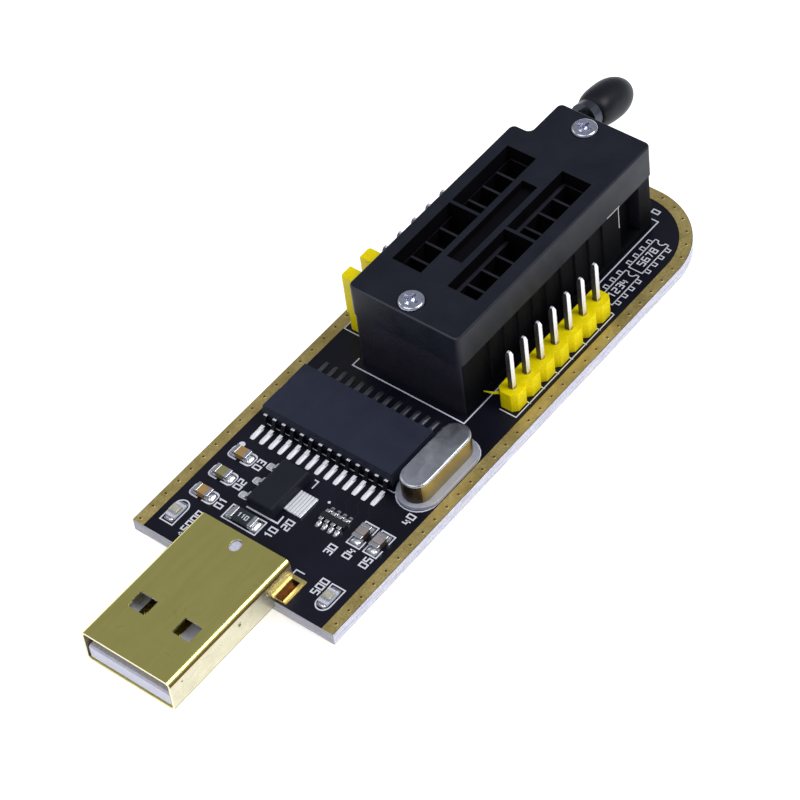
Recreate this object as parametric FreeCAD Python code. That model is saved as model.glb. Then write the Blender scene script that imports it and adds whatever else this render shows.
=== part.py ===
import FreeCAD, Part
import math
import os

# USB memory-chip programmer: a stick-shaped circuit board with a USB-A plug at one end and a
# 16-way zero-insertion-force (ZIF) test socket with a lever at the other.
#
# Dimensions are in millimetres. The sub-parts are drawn in board coordinates: X runs from the
# plug edge of the board to the lever end, Y runs across the board, and Z = 0 is the board's
# top face. save() then moves them so that the origin is below the middle of the whole object,
# on the plane that it stands on.

V = FreeCAD.Vector
EAST = V(1, 0, 0)
NORTH = V(0, 1, 0)
UP = V(0, 0, 1)

# ---- driving dimensions -------------------------------------------------------------------

# circuit board
board_length = 69.65
board_width = 27.2
board_thickness = 1.6
board_end_radius = 9.0
tail_depth = 3.1            # how far pin tails reach below the board's top face

pitch = 2.54                # pin pitch of the socket and the headers
pin_side = 0.64             # square header pins
pin_hole_radius = 0.52
pin_taper = 0.5             # length of a pin's pointed end
pin_point = 0.55            # share of the pin's side left at its point

# USB-A plug, sunk into the edge of the board
plug_front = -15.65
plug_rear = 3.15
plug_y = 0.15
plug_width = 12.0
plug_height = 4.5
plug_top = 3.25
plug_wall = 0.3
plug_bend = 0.7             # outer bend radius of the folded shell
plug_fit = 0.04             # gap between shell and insulator
plug_window_length = 2.2
plug_window_width = 2.35
plug_window_x = plug_front + 5.16 + plug_window_length / 2
plug_window_offset = 3.0    # from the plug's centre line
plug_hole_x = 1.65
plug_hole_length = 1.65
plug_hole_width = 1.25
leg_start = 0.7             # soldered legs of the shell
leg_end = 3.0
leg_chamfer = 0.6
leg_slot_margin = 0.35
leg_slot_width = 1.5
insulator_front = -3.0      # the block that closes the shell's rear
insulator_rear = 2.4
tongue_recess = 0.15         # from the shell's mouth
tongue_chamfer = 0.2
tongue_width = 10.9
tongue_thickness = 2.0
blade_width = 1.0
blade_thickness = 0.15
blade_proud = 0.05          # above the tongue
blade_side_gap = 0.02
blade_foot_width = 0.6
contact_offsets = (-3.5, -1.0, 1.0, 3.5)

# ZIF socket
zif_front = 30.5
zif_back = 65.25
zif_y = 0.2
zif_body_y = 0.12           # middle of the base and cover; the contact rows stay on zif_y
zif_width = 14.75
zif_base_inset = 0.15       # the base's sides stand back under the cover
zif_seam = 7.85             # height of the joint between base and cover
zif_top = 12.2
zif_corner = 0.7
zif_rim = 0.25              # rounding round the cover's top
rows_x = 46.4               # middle of the contact rows
row_offset = 3.81           # half of the 7.62 mm row spacing
positions = 8
window_length = positions * pitch + 0.15
window_width = 3.9
window_offset = 3.72        # of each window row from the middle of the cover
window_bar = 0.42           # bar across the middle of each window row
label_recess = (13.5, 2.0, 1.0)
notch_start = 59.7          # the lever swings through this notch
notch_y = 5.05
notch_floor = 4.0
slider_front = 35.6         # the comb, with the lever closed
slider_back = 59.0
slider_half_width = 5.5
slider_bottom = 7.95
slider_top = 10.25
slider_clearance = 0.15
slider_travel = 1.226
slot_length = 2.24          # chip-pin slots in the slider
slot_shift = 0.145          # of the slots from the contacts, with the lever closed
slot_width = 3.3
spine_groove = (16.0, 1.2, 0.5)     # length, width and depth, along the comb's middle
yoke_wall = 0.7
yoke_foot = 0.5             # of the yoke below the pivot
yoke_slot_foot = 1.4
yoke_slot_top = 1.65
groove_foot = 1.0           # where the side grooves of the base start
groove_margin = 0.3         # below the seam
end_recess_x = 60.85        # wide recess in the base's sides, near the lever end
end_recess_length = 3.6
end_recess_depth = 1.4
groove_length = 1.3
groove_depth = 0.25
chamber_length = 1.5
chamber_width = 3.4
chamber_floor = 1.6
tail_slit = (0.9, 0.7)      # in the base's floor under each chamber
contact_width = 0.8
contact_leaf = 0.3          # thickness of the spring leaves
contact_half_gap = 0.75
contact_pinch = 0.18
contact_top_gap = 0.4       # of the leaves below the seam
contact_mouth = 1.4         # height of the flared mouth above the pinch
zif_tail = (0.5, 0.3)
screw_front_x = 32.35
screw_back_x = 63.25
screw_y = 0.25
screw_head_radius = 1.5
screw_head_height = 0.85
screw_head_proud = 0.35
screw_shank_radius = 0.75
screw_length = 8.0
screw_rim = 0.35            # rounding of the head
cross_arm = (1.7, 0.42)     # cross recess: arm length and width
cross_depth = 0.5
cross_cone = (0.15, 0.55)   # radii at the floor and at the top

# ZIF lever: a steel arm and cranked shaft with a moulded knob
pivot_x = 61.45
pivot_z = 6.8
lever_y = 6.2
lever_droop = 11.3          # degrees below level when closed
lever_travel = 100.0        # degrees
arm_thickness = 1.2
arm_height = 1.7
arm_eye_radius = 1.15
arm_reach = 16.0
shaft_radius = 0.8
shaft_clearance = 0.05
crank_radius = 0.8
crank_pin_radius = 0.6
crank_clearance = 0.09
crank_from = 2.1            # crank pin, between two webs
crank_to = 3.7
crank_web = 0.35
shaft_end_y = -4.0
well_reach = 2.3            # of the crank's well, from the pivot towards the plug
well_depth = 1.8            # below the pivot
knob_centre = 14.1          # from the pivot, along the arm
knob_length = 7.6
knob_radius = 2.4
# knob's outline as shares of its length and radius, from the socket's side out
knob_profile = ((0.0, 0.0), (0.015, 0.45), (0.06, 0.76), (0.16, 0.92), (0.36, 1.0), (0.58, 0.99), (0.8, 0.8),
                (0.94, 0.46), (1.0, 0.0))
collar_radius = 1.75        # steel collar that the knob is moulded against
collar_start = 9.3          # from the pivot
collar_end = 10.6

# pin headers
header_pins = 7
header_first_x = 35.15
header_right_y = -10.05
header_left_y = 10.5
header_body = 2.5
header_height = 2.54
header_chamfer = 0.55
pin_top = 7.95

# jumper cap on the first two pins of the left header
jumper_bottom = 2.6
jumper_top = 8.25
jumper_length = 5.1
jumper_width = 2.45
jumper_wall = 0.35
jumper_waist = 5.55         # height of the cap between its two ears
jumper_gap = 1.6            # between the ears
jumper_bore = 0.74          # square hole for each pin, closed at the top
pin_clearance = 0.05        # between a pin's tip and the cap
clip_leaf = 0.2
clip_bridge = 1.4

# controller chip, a 28-lead small-outline package
chip_x = 22.05
chip_y = 2.0
chip_body_x = 7.5
chip_body_y = 17.9
chip_height = 2.35
chip_standoff = 0.2
chip_lead_span = 10.3
chip_lead_pitch = 1.27
chip_leads_per_side = 14
chip_lead_width = 0.48
chip_lead_thickness = 0.22
chip_foot = 0.65            # flat end of each lead
chip_draft = 0.18           # how far each side leans in
chip_notch = (0.7, 0.1)     # radius and depth
chip_dot = (0.5, 0.06)
chip_dot_offset = (-2.6, -1.6)  # from the middle of the notched end
lead_slope = 0.35           # how far a bent lead runs out on its way down

# crystal in a low metal can
crystal_x = 22.7
crystal_y = -9.45
crystal_flange = (11.1, 5.1, 0.45)
crystal_can = (10.1, 3.45)
crystal_top = 3.25
crystal_standoff = 0.1
crystal_rim = 0.3           # rounding of the can's top edge
crystal_wall = 0.25
crystal_lead_spacing = 4.88
crystal_lead_radius = 0.22
crystal_bore_radius = 0.24
crystal_lead_top = 1.2

# voltage regulator
regulator_x = 11.35
regulator_y = 2.85
regulator_body = (6.3, 3.5, 1.6)
regulator_standoff = 0.05
regulator_chamfer = 0.2
regulator_lead_pitch = 2.3
regulator_lead = (0.75, 0.25)   # width and thickness
regulator_lead_z = 0.75
regulator_reach = 1.55          # of the leads from the body
regulator_foot = 0.6
regulator_tab_reach = 2.35
regulator_tab_width = 3.05

# ceramic capacitors: centre X, centre Y and the axis that the part lies along
CAPACITORS = {
    "c1": (6.85, 9.5, "Y"),
    "c2": (9.95, 9.5, "Y"),
    "c3": (13.15, 9.5, "Y"),
    "c4": (11.8, -8.0, "X"),
    "c5": (11.8, -10.2, "X"),
}
capacitor_size = (2.0, 1.25, 0.85)
capacitor_cap = 0.52
fuse_centre = (6.5, 3.7)
fuse_size = (3.2, 1.6, 0.65)
fuse_cap = 0.55
array_centre = (11.5, -4.4)
array_length = 3.2
array_width = 1.6
array_height = 0.55
array_pitch = 0.8
array_terminal = (0.42, 0.5)    # along X and Y
core_inset = 0.03           # of a chip component's middle from its end caps' faces
LEDS = {"power_led": (3.35, 10.4), "run_led": (3.45, -10.25)}
led_size = (2.0, 1.25, 0.35)
led_lens = (1.1, 1.15, 0.4)
led_lens_chamfer = 0.12
solder_fillet = (0.32, 0.85, 0.75)  # radii at the tip and on the board, and height

# ---- derived places -------------------------------------------------------------------------

plug_bottom = plug_top - plug_height
tongue_floor = plug_bottom + plug_wall + plug_fit
tongue_top = tongue_floor + tongue_thickness
blade_front = plug_front + 1.3
foot_start = insulator_rear + 0.2
foot_length = 1.5
board_gap = 0.02            # between the board and a moulding that stands on it
plug_right = plug_y - plug_width / 2
plug_left = plug_y + plug_width / 2
zif_right = zif_body_y - zif_width / 2
zif_left = zif_body_y + zif_width / 2
yoke_back = pivot_x + 2.0
crank_rest_x = pivot_x + crank_radius * math.sin(math.radians(lever_travel / 2))
crank_rest_z = pivot_z + crank_radius * math.cos(math.radians(lever_travel / 2))
crank_head_room = pivot_z + yoke_slot_top
knob_tip = knob_centre + knob_length / 2
lever_tip_x = pivot_x + knob_tip * math.cos(math.radians(lever_droop))
frame_shift = V(-(plug_front + lever_tip_x) / 2, 0, tail_depth)
contact_xs = [rows_x + (i - (positions - 1) / 2) * pitch for i in range(positions)]
header_xs = [header_first_x + i * pitch for i in range(header_pins)]


# ---- helpers --------------------------------------------------------------------------------

def box(x0, x1, y0, y1, z0, z1):
    return Part.makeBox(x1 - x0, y1 - y0, z1 - z0, V(x0, y0, z0))


def block(cx, cy, size_x, size_y, z0, z1):
    return box(cx - size_x / 2, cx + size_x / 2, cy - size_y / 2, cy + size_y / 2, z0, z1)


def rod(radius, start, end):
    return Part.makeCylinder(radius, (end - start).Length, start, end - start)


def extrude(points, direction):
    """Prism on a closed polygon."""
    outline = Part.makePolygon(points + points[:1])
    return Part.Face(outline).extrude(direction)


def is_vertical(edge):
    if not isinstance(edge.Curve, Part.Line):
        return False
    return abs(edge.Vertexes[0].Z - edge.Vertexes[-1].Z) > 1e-6 and abs(edge.Curve.Direction.z) > 0.999


def round_corners(shape, radius):
    return shape.makeFillet(radius, [e for e in shape.Edges if is_vertical(e)])


def round_rim(shape, z, radius):
    """Rounds every edge that lies in the plane at height z."""
    level = [e for e in shape.Edges if all(abs(v.Z - z) < 1e-6 for v in e.Vertexes)]
    return shape.makeFillet(radius, level)


def oval(cx, cy, length, width, z0, z1):
    """Upright slot with round ends, long along X."""
    reach = (length - width) / 2
    middle = block(cx, cy, 2 * reach, width, z0, z1)
    ends = [rod(width / 2, V(cx + s * reach, cy, z0), V(cx + s * reach, cy, z1)) for s in (-1, 1)]
    return middle.multiFuse(ends).removeSplitter()


def square_pin(x, y, z0, z1, side=pin_side):
    """Square pin with tapered tips."""
    tip = side * pin_point

    def outline(z, width):
        half = width / 2
        corners = [V(x - half, y - half, z), V(x + half, y - half, z),
                   V(x + half, y + half, z), V(x - half, y + half, z)]
        return Part.makePolygon(corners + corners[:1])

    sections = [(z0, tip), (z0 + pin_taper, side), (z1 - pin_taper, side), (z1, tip)]
    wires = [outline(z, width) for z, width in sections]
    return Part.makeLoft(wires, True, True)


def save(node, shape):
    solids = shape if isinstance(shape, list) else [shape]
    pieces = [s for shape_ in solids for s in shape_.Solids]
    result = pieces[0] if len(pieces) == 1 else Part.makeCompound(pieces)
    result = result.copy()
    result.translate(frame_shift)
    if not result.isValid():
        raise ValueError(node + " is not a valid shape")
    result.exportStep(os.path.join("parts", node + ".step"))


# ---- circuit board --------------------------------------------------------------------------

def leg_slot(side, z0, z1):
    """Plated slot beside the plug for one shell leg; side is -1 or 1."""
    wall = plug_right if side < 0 else plug_left
    y = wall + side * (leg_slot_width / 2 - leg_slot_margin - plug_wall / 2)
    x = (leg_start + leg_end) / 2
    return oval(x, y, leg_end - leg_start + 2 * leg_slot_margin, leg_slot_width, z0, z1)


def board():
    half = board_width / 2
    radius = board_end_radius
    start = board_length - radius
    diagonal = radius * math.sqrt(0.5)
    near_left = V(0, half, 0)
    near_right = V(0, -half, 0)
    bend_right = [V(start, -half, 0), V(start + diagonal, radius - half - diagonal, 0),
                  V(board_length, radius - half, 0)]
    bend_left = [V(p.x, -p.y, 0) for p in reversed(bend_right)]
    edges = [
        Part.LineSegment(near_right, bend_right[0]).toShape(),
        Part.Arc(*bend_right).toShape(),
        Part.LineSegment(bend_right[2], bend_left[0]).toShape(),
        Part.Arc(*bend_left).toShape(),
        Part.LineSegment(bend_left[2], near_left).toShape(),
        Part.LineSegment(near_left, near_right).toShape(),
    ]
    slab = Part.Face(Part.Wire(edges)).extrude(V(0, 0, -board_thickness))

    low = -board_thickness - 1
    cutters = [leg_slot(side, low, 1) for side in (-1, 1)]
    places = [(x, zif_y + s * row_offset) for x in contact_xs for s in (-1, 1)]
    places += [(x, y) for x in header_xs for y in (header_left_y, header_right_y)]
    places += crystal_lead_places()
    cutters += [rod(pin_hole_radius, V(x, y, low), V(x, y, 1)) for x, y in places]
    return slab.cut(cutters)


# ---- USB plug -------------------------------------------------------------------------------

def plug_section(inset, x0, x1):
    """Rounded rectangular bar along the plug, shrunk by inset on every side."""
    bar = box(x0, x1, plug_right + inset, plug_left - inset, plug_bottom + inset, plug_top - inset)
    long_edges = [e for e in bar.Edges if abs(e.Curve.Direction.x) > 0.999]
    return bar.makeFillet(plug_bend - inset, long_edges)


def shell_leg(side):
    """Leg that the shell's side wall sends down through the board."""
    wall = plug_right if side < 0 else plug_left - plug_wall
    leg = box(leg_start, leg_end, wall, wall + plug_wall, -tail_depth, plug_wall)
    bottom = [e for e in leg.Edges
              if abs(e.Curve.Direction.y) > 0.999 and e.BoundBox.ZMax < -tail_depth + 0.01]
    return leg.makeChamfer(leg_chamfer, bottom)


def plug_shell():
    inside = plug_section(plug_wall, plug_front - 1, plug_rear + 1)
    tube = plug_section(0, plug_front, plug_rear).cut(inside)
    # the lower wall ends where the board starts
    cutters = [box(0, plug_rear + 1, plug_right - 1, plug_left + 1, plug_bottom - 1, 0)]
    depth = 2 * plug_wall
    for s in (-1, 1):
        y = plug_y + s * plug_window_offset
        for z in (plug_top, plug_bottom):
            cutters.append(block(plug_window_x, y, plug_window_length, plug_window_width,
                                 z - depth, z + depth))
    cutters.append(oval(plug_hole_x, plug_y, plug_hole_length, plug_hole_width,
                        plug_top - depth, plug_top + depth))
    return tube.cut(cutters).multiFuse([shell_leg(side) for side in (-1, 1)]).removeSplitter()


def plug_insulator():
    """Block that closes the shell's rear, with the tongue that carries the contacts."""
    rear_block = plug_section(plug_wall + plug_fit, insulator_front, insulator_rear)
    rear_block = rear_block.cut(box(0, insulator_rear + 1, plug_right, plug_left, plug_bottom, board_gap))
    tip_x = plug_front + tongue_recess
    middle = (tip_x + insulator_front) / 2
    tongue = block(middle, plug_y, insulator_front - tip_x, tongue_width, tongue_floor, tongue_top)
    tip = [e for e in tongue.Edges if e.BoundBox.XMax < tip_x + 0.1 and abs(e.Curve.Direction.y) > 0.999]
    tongue = tongue.makeChamfer(tongue_chamfer, tip)
    body = rear_block.fuse(tongue).removeSplitter()
    half = blade_width / 2 + blade_side_gap
    low = tongue_top - blade_thickness - blade_side_gap
    channels = []
    for offset in contact_offsets:
        y = plug_y + offset
        channels.append(box(blade_front - blade_side_gap, insulator_front, y - half, y + half,
                            low, plug_top - 1))
        channels.append(box(insulator_front - 1, insulator_rear + 1, y - half, y + half, low,
                            tongue_top + blade_proud + blade_side_gap))
    return body.cut(channels)


def plug_contact(y):
    """One contact blade: along the tongue, through the block, down to its pad."""
    top = tongue_top + blade_proud
    half = blade_width / 2
    half_foot = blade_foot_width / 2
    blade = box(blade_front, foot_start + blade_thickness, y - half, y + half,
                tongue_top - blade_thickness, top)
    drop = box(foot_start, foot_start + blade_thickness, y - half_foot, y + half_foot, 0, top)
    foot = box(foot_start, foot_start + foot_length, y - half_foot, y + half_foot, 0, blade_thickness)
    return blade.multiFuse([drop, foot]).removeSplitter()


def plug_solder():
    """Solder round the legs, inside the slots and just below the board."""
    low = -board_thickness - 0.25
    return [leg_slot(side, low, -0.35).cut(shell_leg(side)) for side in (-1, 1)]


# ---- ZIF socket -----------------------------------------------------------------------------

def zif_outline(z0, z1):
    """Plan of the cover: a rectangle with the lever's notch cut from its far left corner."""
    corners = [V(zif_front, zif_right, z0), V(zif_back, zif_right, z0), V(zif_back, notch_y, z0),
               V(notch_start, notch_y, z0), V(notch_start, zif_left, z0), V(zif_front, zif_left, z0)]
    return round_corners(extrude(corners, V(0, 0, z1 - z0)), zif_corner)


def slider_plate(clearance, front, z0, z1):
    """The comb's plate with the arm that reaches back to the crank pin, grown by a clearance."""
    half = slider_half_width + clearance
    plate = box(front - clearance, slider_back + clearance, zif_y - half, zif_y + half, z0, z1)
    arm = box(slider_back - 1, yoke_back + clearance, crank_from - clearance, crank_to + clearance, z0, z1)
    return plate.fuse(arm)


def cover_windows():
    """Two rows of openings for the chip's pins, each crossed by a bar in the middle."""
    windows = []
    length = (window_length - window_bar) / 2
    for s in (-1, 1):
        for side in (-1, 1):
            x = rows_x + side * (window_bar + length) / 2
            windows.append(block(x, zif_y + s * window_offset, length, window_width,
                                 slider_top - 1, zif_top + 1))
    return windows


def zif_cover():
    cover = round_rim(zif_outline(zif_seam, zif_top), zif_top, zif_rim)
    swept_front = slider_front - slider_travel
    cutters = [slider_plate(slider_clearance, swept_front, zif_seam - 1, slider_top + slider_clearance)]
    cutters += cover_windows()
    length, width, depth = label_recess
    cutters.append(block(rows_x, zif_y, length, width, zif_top - depth, zif_top + 1))
    # head room for the crank's webs
    cutters.append(block(pivot_x, (crank_from + crank_to) / 2, 4.5 * shaft_radius,
                         crank_to - crank_from + 2 * crank_web + 0.4, zif_seam - 1, crank_head_room))
    seat = zif_top + screw_head_proud - screw_head_height
    for x in (screw_front_x, screw_back_x):
        cutters.append(rod(screw_head_radius + 0.05, V(x, screw_y, seat), V(x, screw_y, zif_top + 1)))
        cutters.append(rod(screw_shank_radius + 0.1, V(x, screw_y, zif_seam - 1), V(x, screw_y, zif_top)))
    return cover.cut(cutters)


def contact_chamber(x, y):
    """Hollow for one spring contact, open upwards, with a slit for its tail below."""
    hollow = block(x, y, chamber_length, chamber_width, chamber_floor, zif_seam + 1)
    slit = block(x, y, *tail_slit, -1, chamber_floor + 0.5)
    return hollow.fuse(slit)


def side_groove(x, length, depth, side):
    wall = (zif_right if side < 0 else zif_left) - side * zif_base_inset
    return block(x, wall, length, 2 * depth, groove_foot, zif_seam - groove_margin)


def lever_pocket():
    """Corner pocket for the drooping lever, the groove for its shaft and the well for its crank."""
    corner = box(notch_start, zif_back + 1, notch_y, zif_left + 1, notch_floor, zif_seam + 1)
    radius = shaft_radius + shaft_clearance
    start = V(pivot_x, shaft_end_y - 0.1, pivot_z)
    bed = rod(radius, start, V(pivot_x, notch_y + 0.1, pivot_z))
    drop_in = box(pivot_x - radius, pivot_x + radius, start.y, notch_y + 0.1, pivot_z, zif_seam + 1)
    well = box(pivot_x - well_reach, yoke_back + 0.5, crank_from - 0.5, crank_to + 0.5,
               pivot_z - well_depth, zif_seam + 1)
    return [corner, bed, drop_in, well]


def zif_base():
    inset = zif_base_inset
    base = box(zif_front + inset, zif_back - inset, zif_right + inset, zif_left - inset, 0, zif_seam)
    base = round_corners(base, zif_corner - inset)
    cutters = [contact_chamber(x, zif_y + s * row_offset) for x in contact_xs for s in (-1, 1)]
    for s in (-1, 1):
        for i in range(positions + 1):
            x = contact_xs[0] + (i - 1) * pitch
            cutters.append(side_groove(x, groove_length, groove_depth, s))
        cutters.append(side_groove(end_recess_x, end_recess_length, end_recess_depth, s))
    cutters += lever_pocket()
    for x in (screw_front_x, screw_back_x):
        low = zif_top + screw_head_proud - screw_length - 0.3
        cutters.append(rod(screw_shank_radius, V(x, screw_y, low), V(x, screw_y, zif_seam + 1)))
    return base.cut(cutters)


def zif_slider():
    """Sliding comb: a slotted plate, and the yoke that the crank pin pushes."""
    plate = slider_plate(0, slider_front, slider_bottom, slider_top)
    below = slider_bottom - 1
    above = slider_top + 1
    slots = [block(x + slot_shift, zif_y + s * row_offset, slot_length, slot_width, below, above)
             for x in contact_xs for s in (-1, 1)]
    length, width, depth = spine_groove
    slots.append(block(rows_x, zif_y, length, width, slider_top - depth, above))
    half = crank_pin_radius + crank_clearance
    reach = half + yoke_wall
    yoke = box(crank_rest_x - reach, crank_rest_x + reach, crank_from + 0.1, crank_to - 0.1,
               pivot_z - yoke_foot, slider_top)
    pin_slot = box(crank_rest_x - half, crank_rest_x + half, crank_from - 1, crank_to + 1,
                   pivot_z - yoke_slot_foot, pivot_z + yoke_slot_top)
    return plate.cut(slots).fuse(yoke).cut(pin_slot).removeSplitter()


def zif_contact(x, row_y):
    """Leaf contact of one position: a U-shaped spring in its chamber with a tail through the board."""
    floor = chamber_floor + 0.05
    top = zif_seam - contact_top_gap
    waist = top - contact_mouth
    half = contact_width / 2
    base_bar = block(x, row_y, contact_width, 2 * (contact_half_gap + contact_leaf),
                     floor, floor + contact_leaf)
    leaves = []
    for s in (-1, 1):
        inner = row_y + s * contact_half_gap
        outer = inner + s * contact_leaf
        pinch = row_y + s * contact_pinch
        outline = [(inner, floor), (outer, floor), (pinch + s * contact_leaf, waist), (outer, top),
                   (inner, top),
                   (pinch, waist)]
        leaves.append(extrude([V(x - half, y, z) for y, z in outline], V(contact_width, 0, 0)))
    tail = block(x, row_y, *zif_tail, -tail_depth + 0.1, floor + contact_leaf)
    return base_bar.multiFuse(leaves + [tail]).removeSplitter()


def zif_screw(x):
    """Pan-head screw with a cross recess."""
    top = zif_top + screw_head_proud
    seat = top - screw_head_height
    head = rod(screw_head_radius, V(x, screw_y, seat), V(x, screw_y, top))
    rim = [e for e in head.Edges if isinstance(e.Curve, Part.Circle) and abs(e.Curve.Center.z - top) < 1e-6]
    head = head.makeFillet(screw_rim, rim)
    shank = rod(screw_shank_radius - 0.04, V(x, screw_y, top - screw_length), V(x, screw_y, seat))
    floor = top - cross_depth
    arms = [block(x, screw_y, *size, floor, top + 1) for size in (cross_arm, cross_arm[::-1])]
    cone = Part.makeCone(*cross_cone, cross_depth + 0.02, V(x, screw_y, floor), UP)
    return head.fuse(shank).removeSplitter().cut(arms + [cone])


def along_lever(reach, lift, y):
    """Point at a reach from the pivot along the closed lever, lifted square to it."""
    droop = math.radians(lever_droop)
    return V(pivot_x + reach * math.cos(droop) + lift * math.sin(droop), y,
             pivot_z - reach * math.sin(droop) + lift * math.cos(droop))


def crank_cheek(y):
    """Web between the shaft and the crank pin, starting at y."""
    along = V(0, crank_web, 0)
    shaft = V(pivot_x, y, pivot_z)
    pin = V(crank_rest_x, y, crank_rest_z)
    side = (pin - shaft).cross(NORTH).normalize().multiply(crank_pin_radius)
    bridge = extrude([shaft + side, pin + side, pin - side, shaft - side], along)
    return [rod(shaft_radius, shaft, shaft + along), rod(crank_pin_radius, pin, pin + along), bridge]


def lever_arm():
    """Steel arm with an eye on the cranked shaft that pushes the slider."""
    y0 = lever_y - arm_thickness / 2
    half = arm_height / 2
    outline = [along_lever(reach, lift, y0) for reach, lift in
               ((0, -half), (arm_reach, -half), (arm_reach, half), (0, half))]
    arm = extrude(outline, V(0, arm_thickness, 0))
    collar = rod(collar_radius, along_lever(collar_start, 0, lever_y), along_lever(collar_end, 0, lever_y))
    eye = rod(arm_eye_radius, V(pivot_x, y0, pivot_z), V(pivot_x, y0 + arm_thickness, pivot_z))
    near = rod(shaft_radius, V(pivot_x, crank_to, pivot_z), V(pivot_x, y0, pivot_z))
    far = rod(shaft_radius, V(pivot_x, shaft_end_y, pivot_z), V(pivot_x, crank_from, pivot_z))
    crank = rod(crank_pin_radius, V(crank_rest_x, crank_from - crank_web, crank_rest_z),
                V(crank_rest_x, crank_to + crank_web, crank_rest_z))
    webs = [shape for y in (crank_from - crank_web, crank_to) for shape in crank_cheek(y)]
    return arm.multiFuse([collar, eye, near, far, crank] + webs).removeSplitter()


def lever_knob():
    """Egg-shaped knob moulded over the end of the arm, slimmer towards the socket."""
    start = knob_centre - knob_length / 2
    points = [V(start + t * knob_length, 0, r * knob_radius) for t, r in knob_profile]
    curve = Part.BSplineCurve()
    curve.interpolate(points)
    axis = Part.LineSegment(points[-1], points[0]).toShape()
    face = Part.Face(Part.Wire([curve.toShape(), axis]))
    knob = face.revolve(V(0, 0, 0), EAST, 360)
    knob.rotate(V(0, 0, 0), NORTH, lever_droop)
    knob.translate(V(pivot_x, lever_y, pivot_z))
    if knob.Volume < 0:
        knob.reverse()
    return knob.cut(lever_arm())


# ---- pin headers and jumper -----------------------------------------------------------------

def header_housing(y):
    """Break-away strip: one chamfered cell per pin."""
    cells = []
    half = header_body / 2
    c = header_chamfer
    for x in header_xs:
        x0 = x - pitch / 2
        x1 = x + pitch / 2
        outline = [V(x0 + c, y - half, 0), V(x1 - c, y - half, 0),
                   V(x1, y - half + c, 0), V(x1, y + half - c, 0),
                   V(x1 - c, y + half, 0), V(x0 + c, y + half, 0),
                   V(x0, y + half - c, 0), V(x0, y - half + c, 0)]
        cells.append(extrude(outline, V(0, 0, header_height)))
    strip = cells[0].multiFuse(cells[1:]).removeSplitter()
    holes = [block(x, y, pin_side, pin_side, -1, header_height + 1) for x in header_xs]
    return strip.cut(holes)


def header_pin_row(y):
    return [square_pin(x, y, -tail_depth, pin_top) for x in header_xs]


def jumper_centre():
    return header_first_x + pitch / 2


def jumper_housing():
    """Two-way jumper cap, open at the bottom, with a closed ear over each pin."""
    x = jumper_centre()
    y = header_left_y
    body = round_corners(block(x, y, jumper_length, jumper_width, jumper_bottom, jumper_top), jumper_wall)
    cutters = [block(x, y, jumper_gap, jumper_width + 1, jumper_waist, jumper_top + 1)]
    inner_length = jumper_length - 2 * jumper_wall
    inner_width = jumper_width - 2 * jumper_wall
    cutters.append(block(x, y, inner_length, inner_width, jumper_bottom - 1, jumper_waist - jumper_wall))
    for s in (-1, 1):
        cutters.append(block(x + s * pitch / 2, y, jumper_bore, jumper_bore,
                             jumper_bottom, pin_top + pin_clearance))
    return body.cut(cutters)


def jumper_clip():
    """Folded spring contact that bridges the two pins."""
    x = jumper_centre()
    y = header_left_y
    top = jumper_waist - jumper_wall - 0.05
    half_length = jumper_length / 2 - jumper_wall - 0.05
    reach = jumper_width / 2 - jumper_wall - 0.05
    bridge = block(x, y, clip_bridge, 2 * reach, top - clip_leaf, top)
    sides = [box(x - half_length, x + half_length, *sorted((y + s * (reach - clip_leaf), y + s * reach)),
                 jumper_bottom + clip_leaf, top) for s in (-1, 1)]
    return bridge.multiFuse(sides).removeSplitter()


# ---- controller chip ------------------------------------------------------------------------

def chip_body():
    top = chip_height
    middle = (top + chip_standoff) / 2

    def outline(z, inset):
        hx = chip_body_x / 2 - inset
        hy = chip_body_y / 2 - inset
        corners = [V(chip_x - hx, chip_y - hy, z), V(chip_x + hx, chip_y - hy, z),
                   V(chip_x + hx, chip_y + hy, z), V(chip_x - hx, chip_y + hy, z)]
        return Part.makePolygon(corners + corners[:1])

    sections = [outline(chip_standoff, chip_draft), outline(middle, 0), outline(top, chip_draft)]
    body = Part.makeLoft(sections, True, True)
    end_y = chip_y + chip_body_y / 2
    marks = []
    for (radius, depth), (dx, dy) in ((chip_notch, (0, 0)), (chip_dot, chip_dot_offset)):
        floor = V(chip_x + dx, end_y + dy, top - depth)
        marks.append(rod(radius, floor, floor + UP))
    return body.cut(marks)


def gull_lead(x_body, x_toe, y, z_body, width, thickness, foot):
    """Gull-wing lead in the X-Z plane from the body side out to its toe on the board."""
    s = 1 if x_toe > x_body else -1
    t = thickness
    heel = x_toe - s * foot
    shoulder = heel - s * (lead_slope + t)
    points = [(x_body, z_body - t / 2), (shoulder - s * t / 2, z_body - t / 2), (heel - s * t, 0.0),
              (x_toe, 0.0),
              (x_toe, t), (heel, t), (shoulder + s * t / 2, z_body + t / 2), (x_body, z_body + t / 2)]
    outline = [V(x, y - width / 2, z) for x, z in points]
    return extrude(outline, V(0, width, 0))


def chip_leads():
    leads = []
    z = (chip_height + chip_standoff) / 2
    for s in (-1, 1):
        for i in range(chip_leads_per_side):
            y = chip_y + (i - (chip_leads_per_side - 1) / 2) * chip_lead_pitch
            leads.append(gull_lead(chip_x + s * (chip_body_x / 2 + 0.01), chip_x + s * chip_lead_span / 2, y, z,
                                   chip_lead_width, chip_lead_thickness, chip_foot))
    return leads


# ---- voltage regulator ----------------------------------------------------------------------

def regulator_housing():
    size_x, size_y, height = regulator_body
    body = block(regulator_x, regulator_y, size_x, size_y, regulator_standoff, height)
    rim = [e for e in body.Edges if e.BoundBox.ZMin > height - 0.01]
    return body.makeChamfer(regulator_chamfer, rim)


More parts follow.
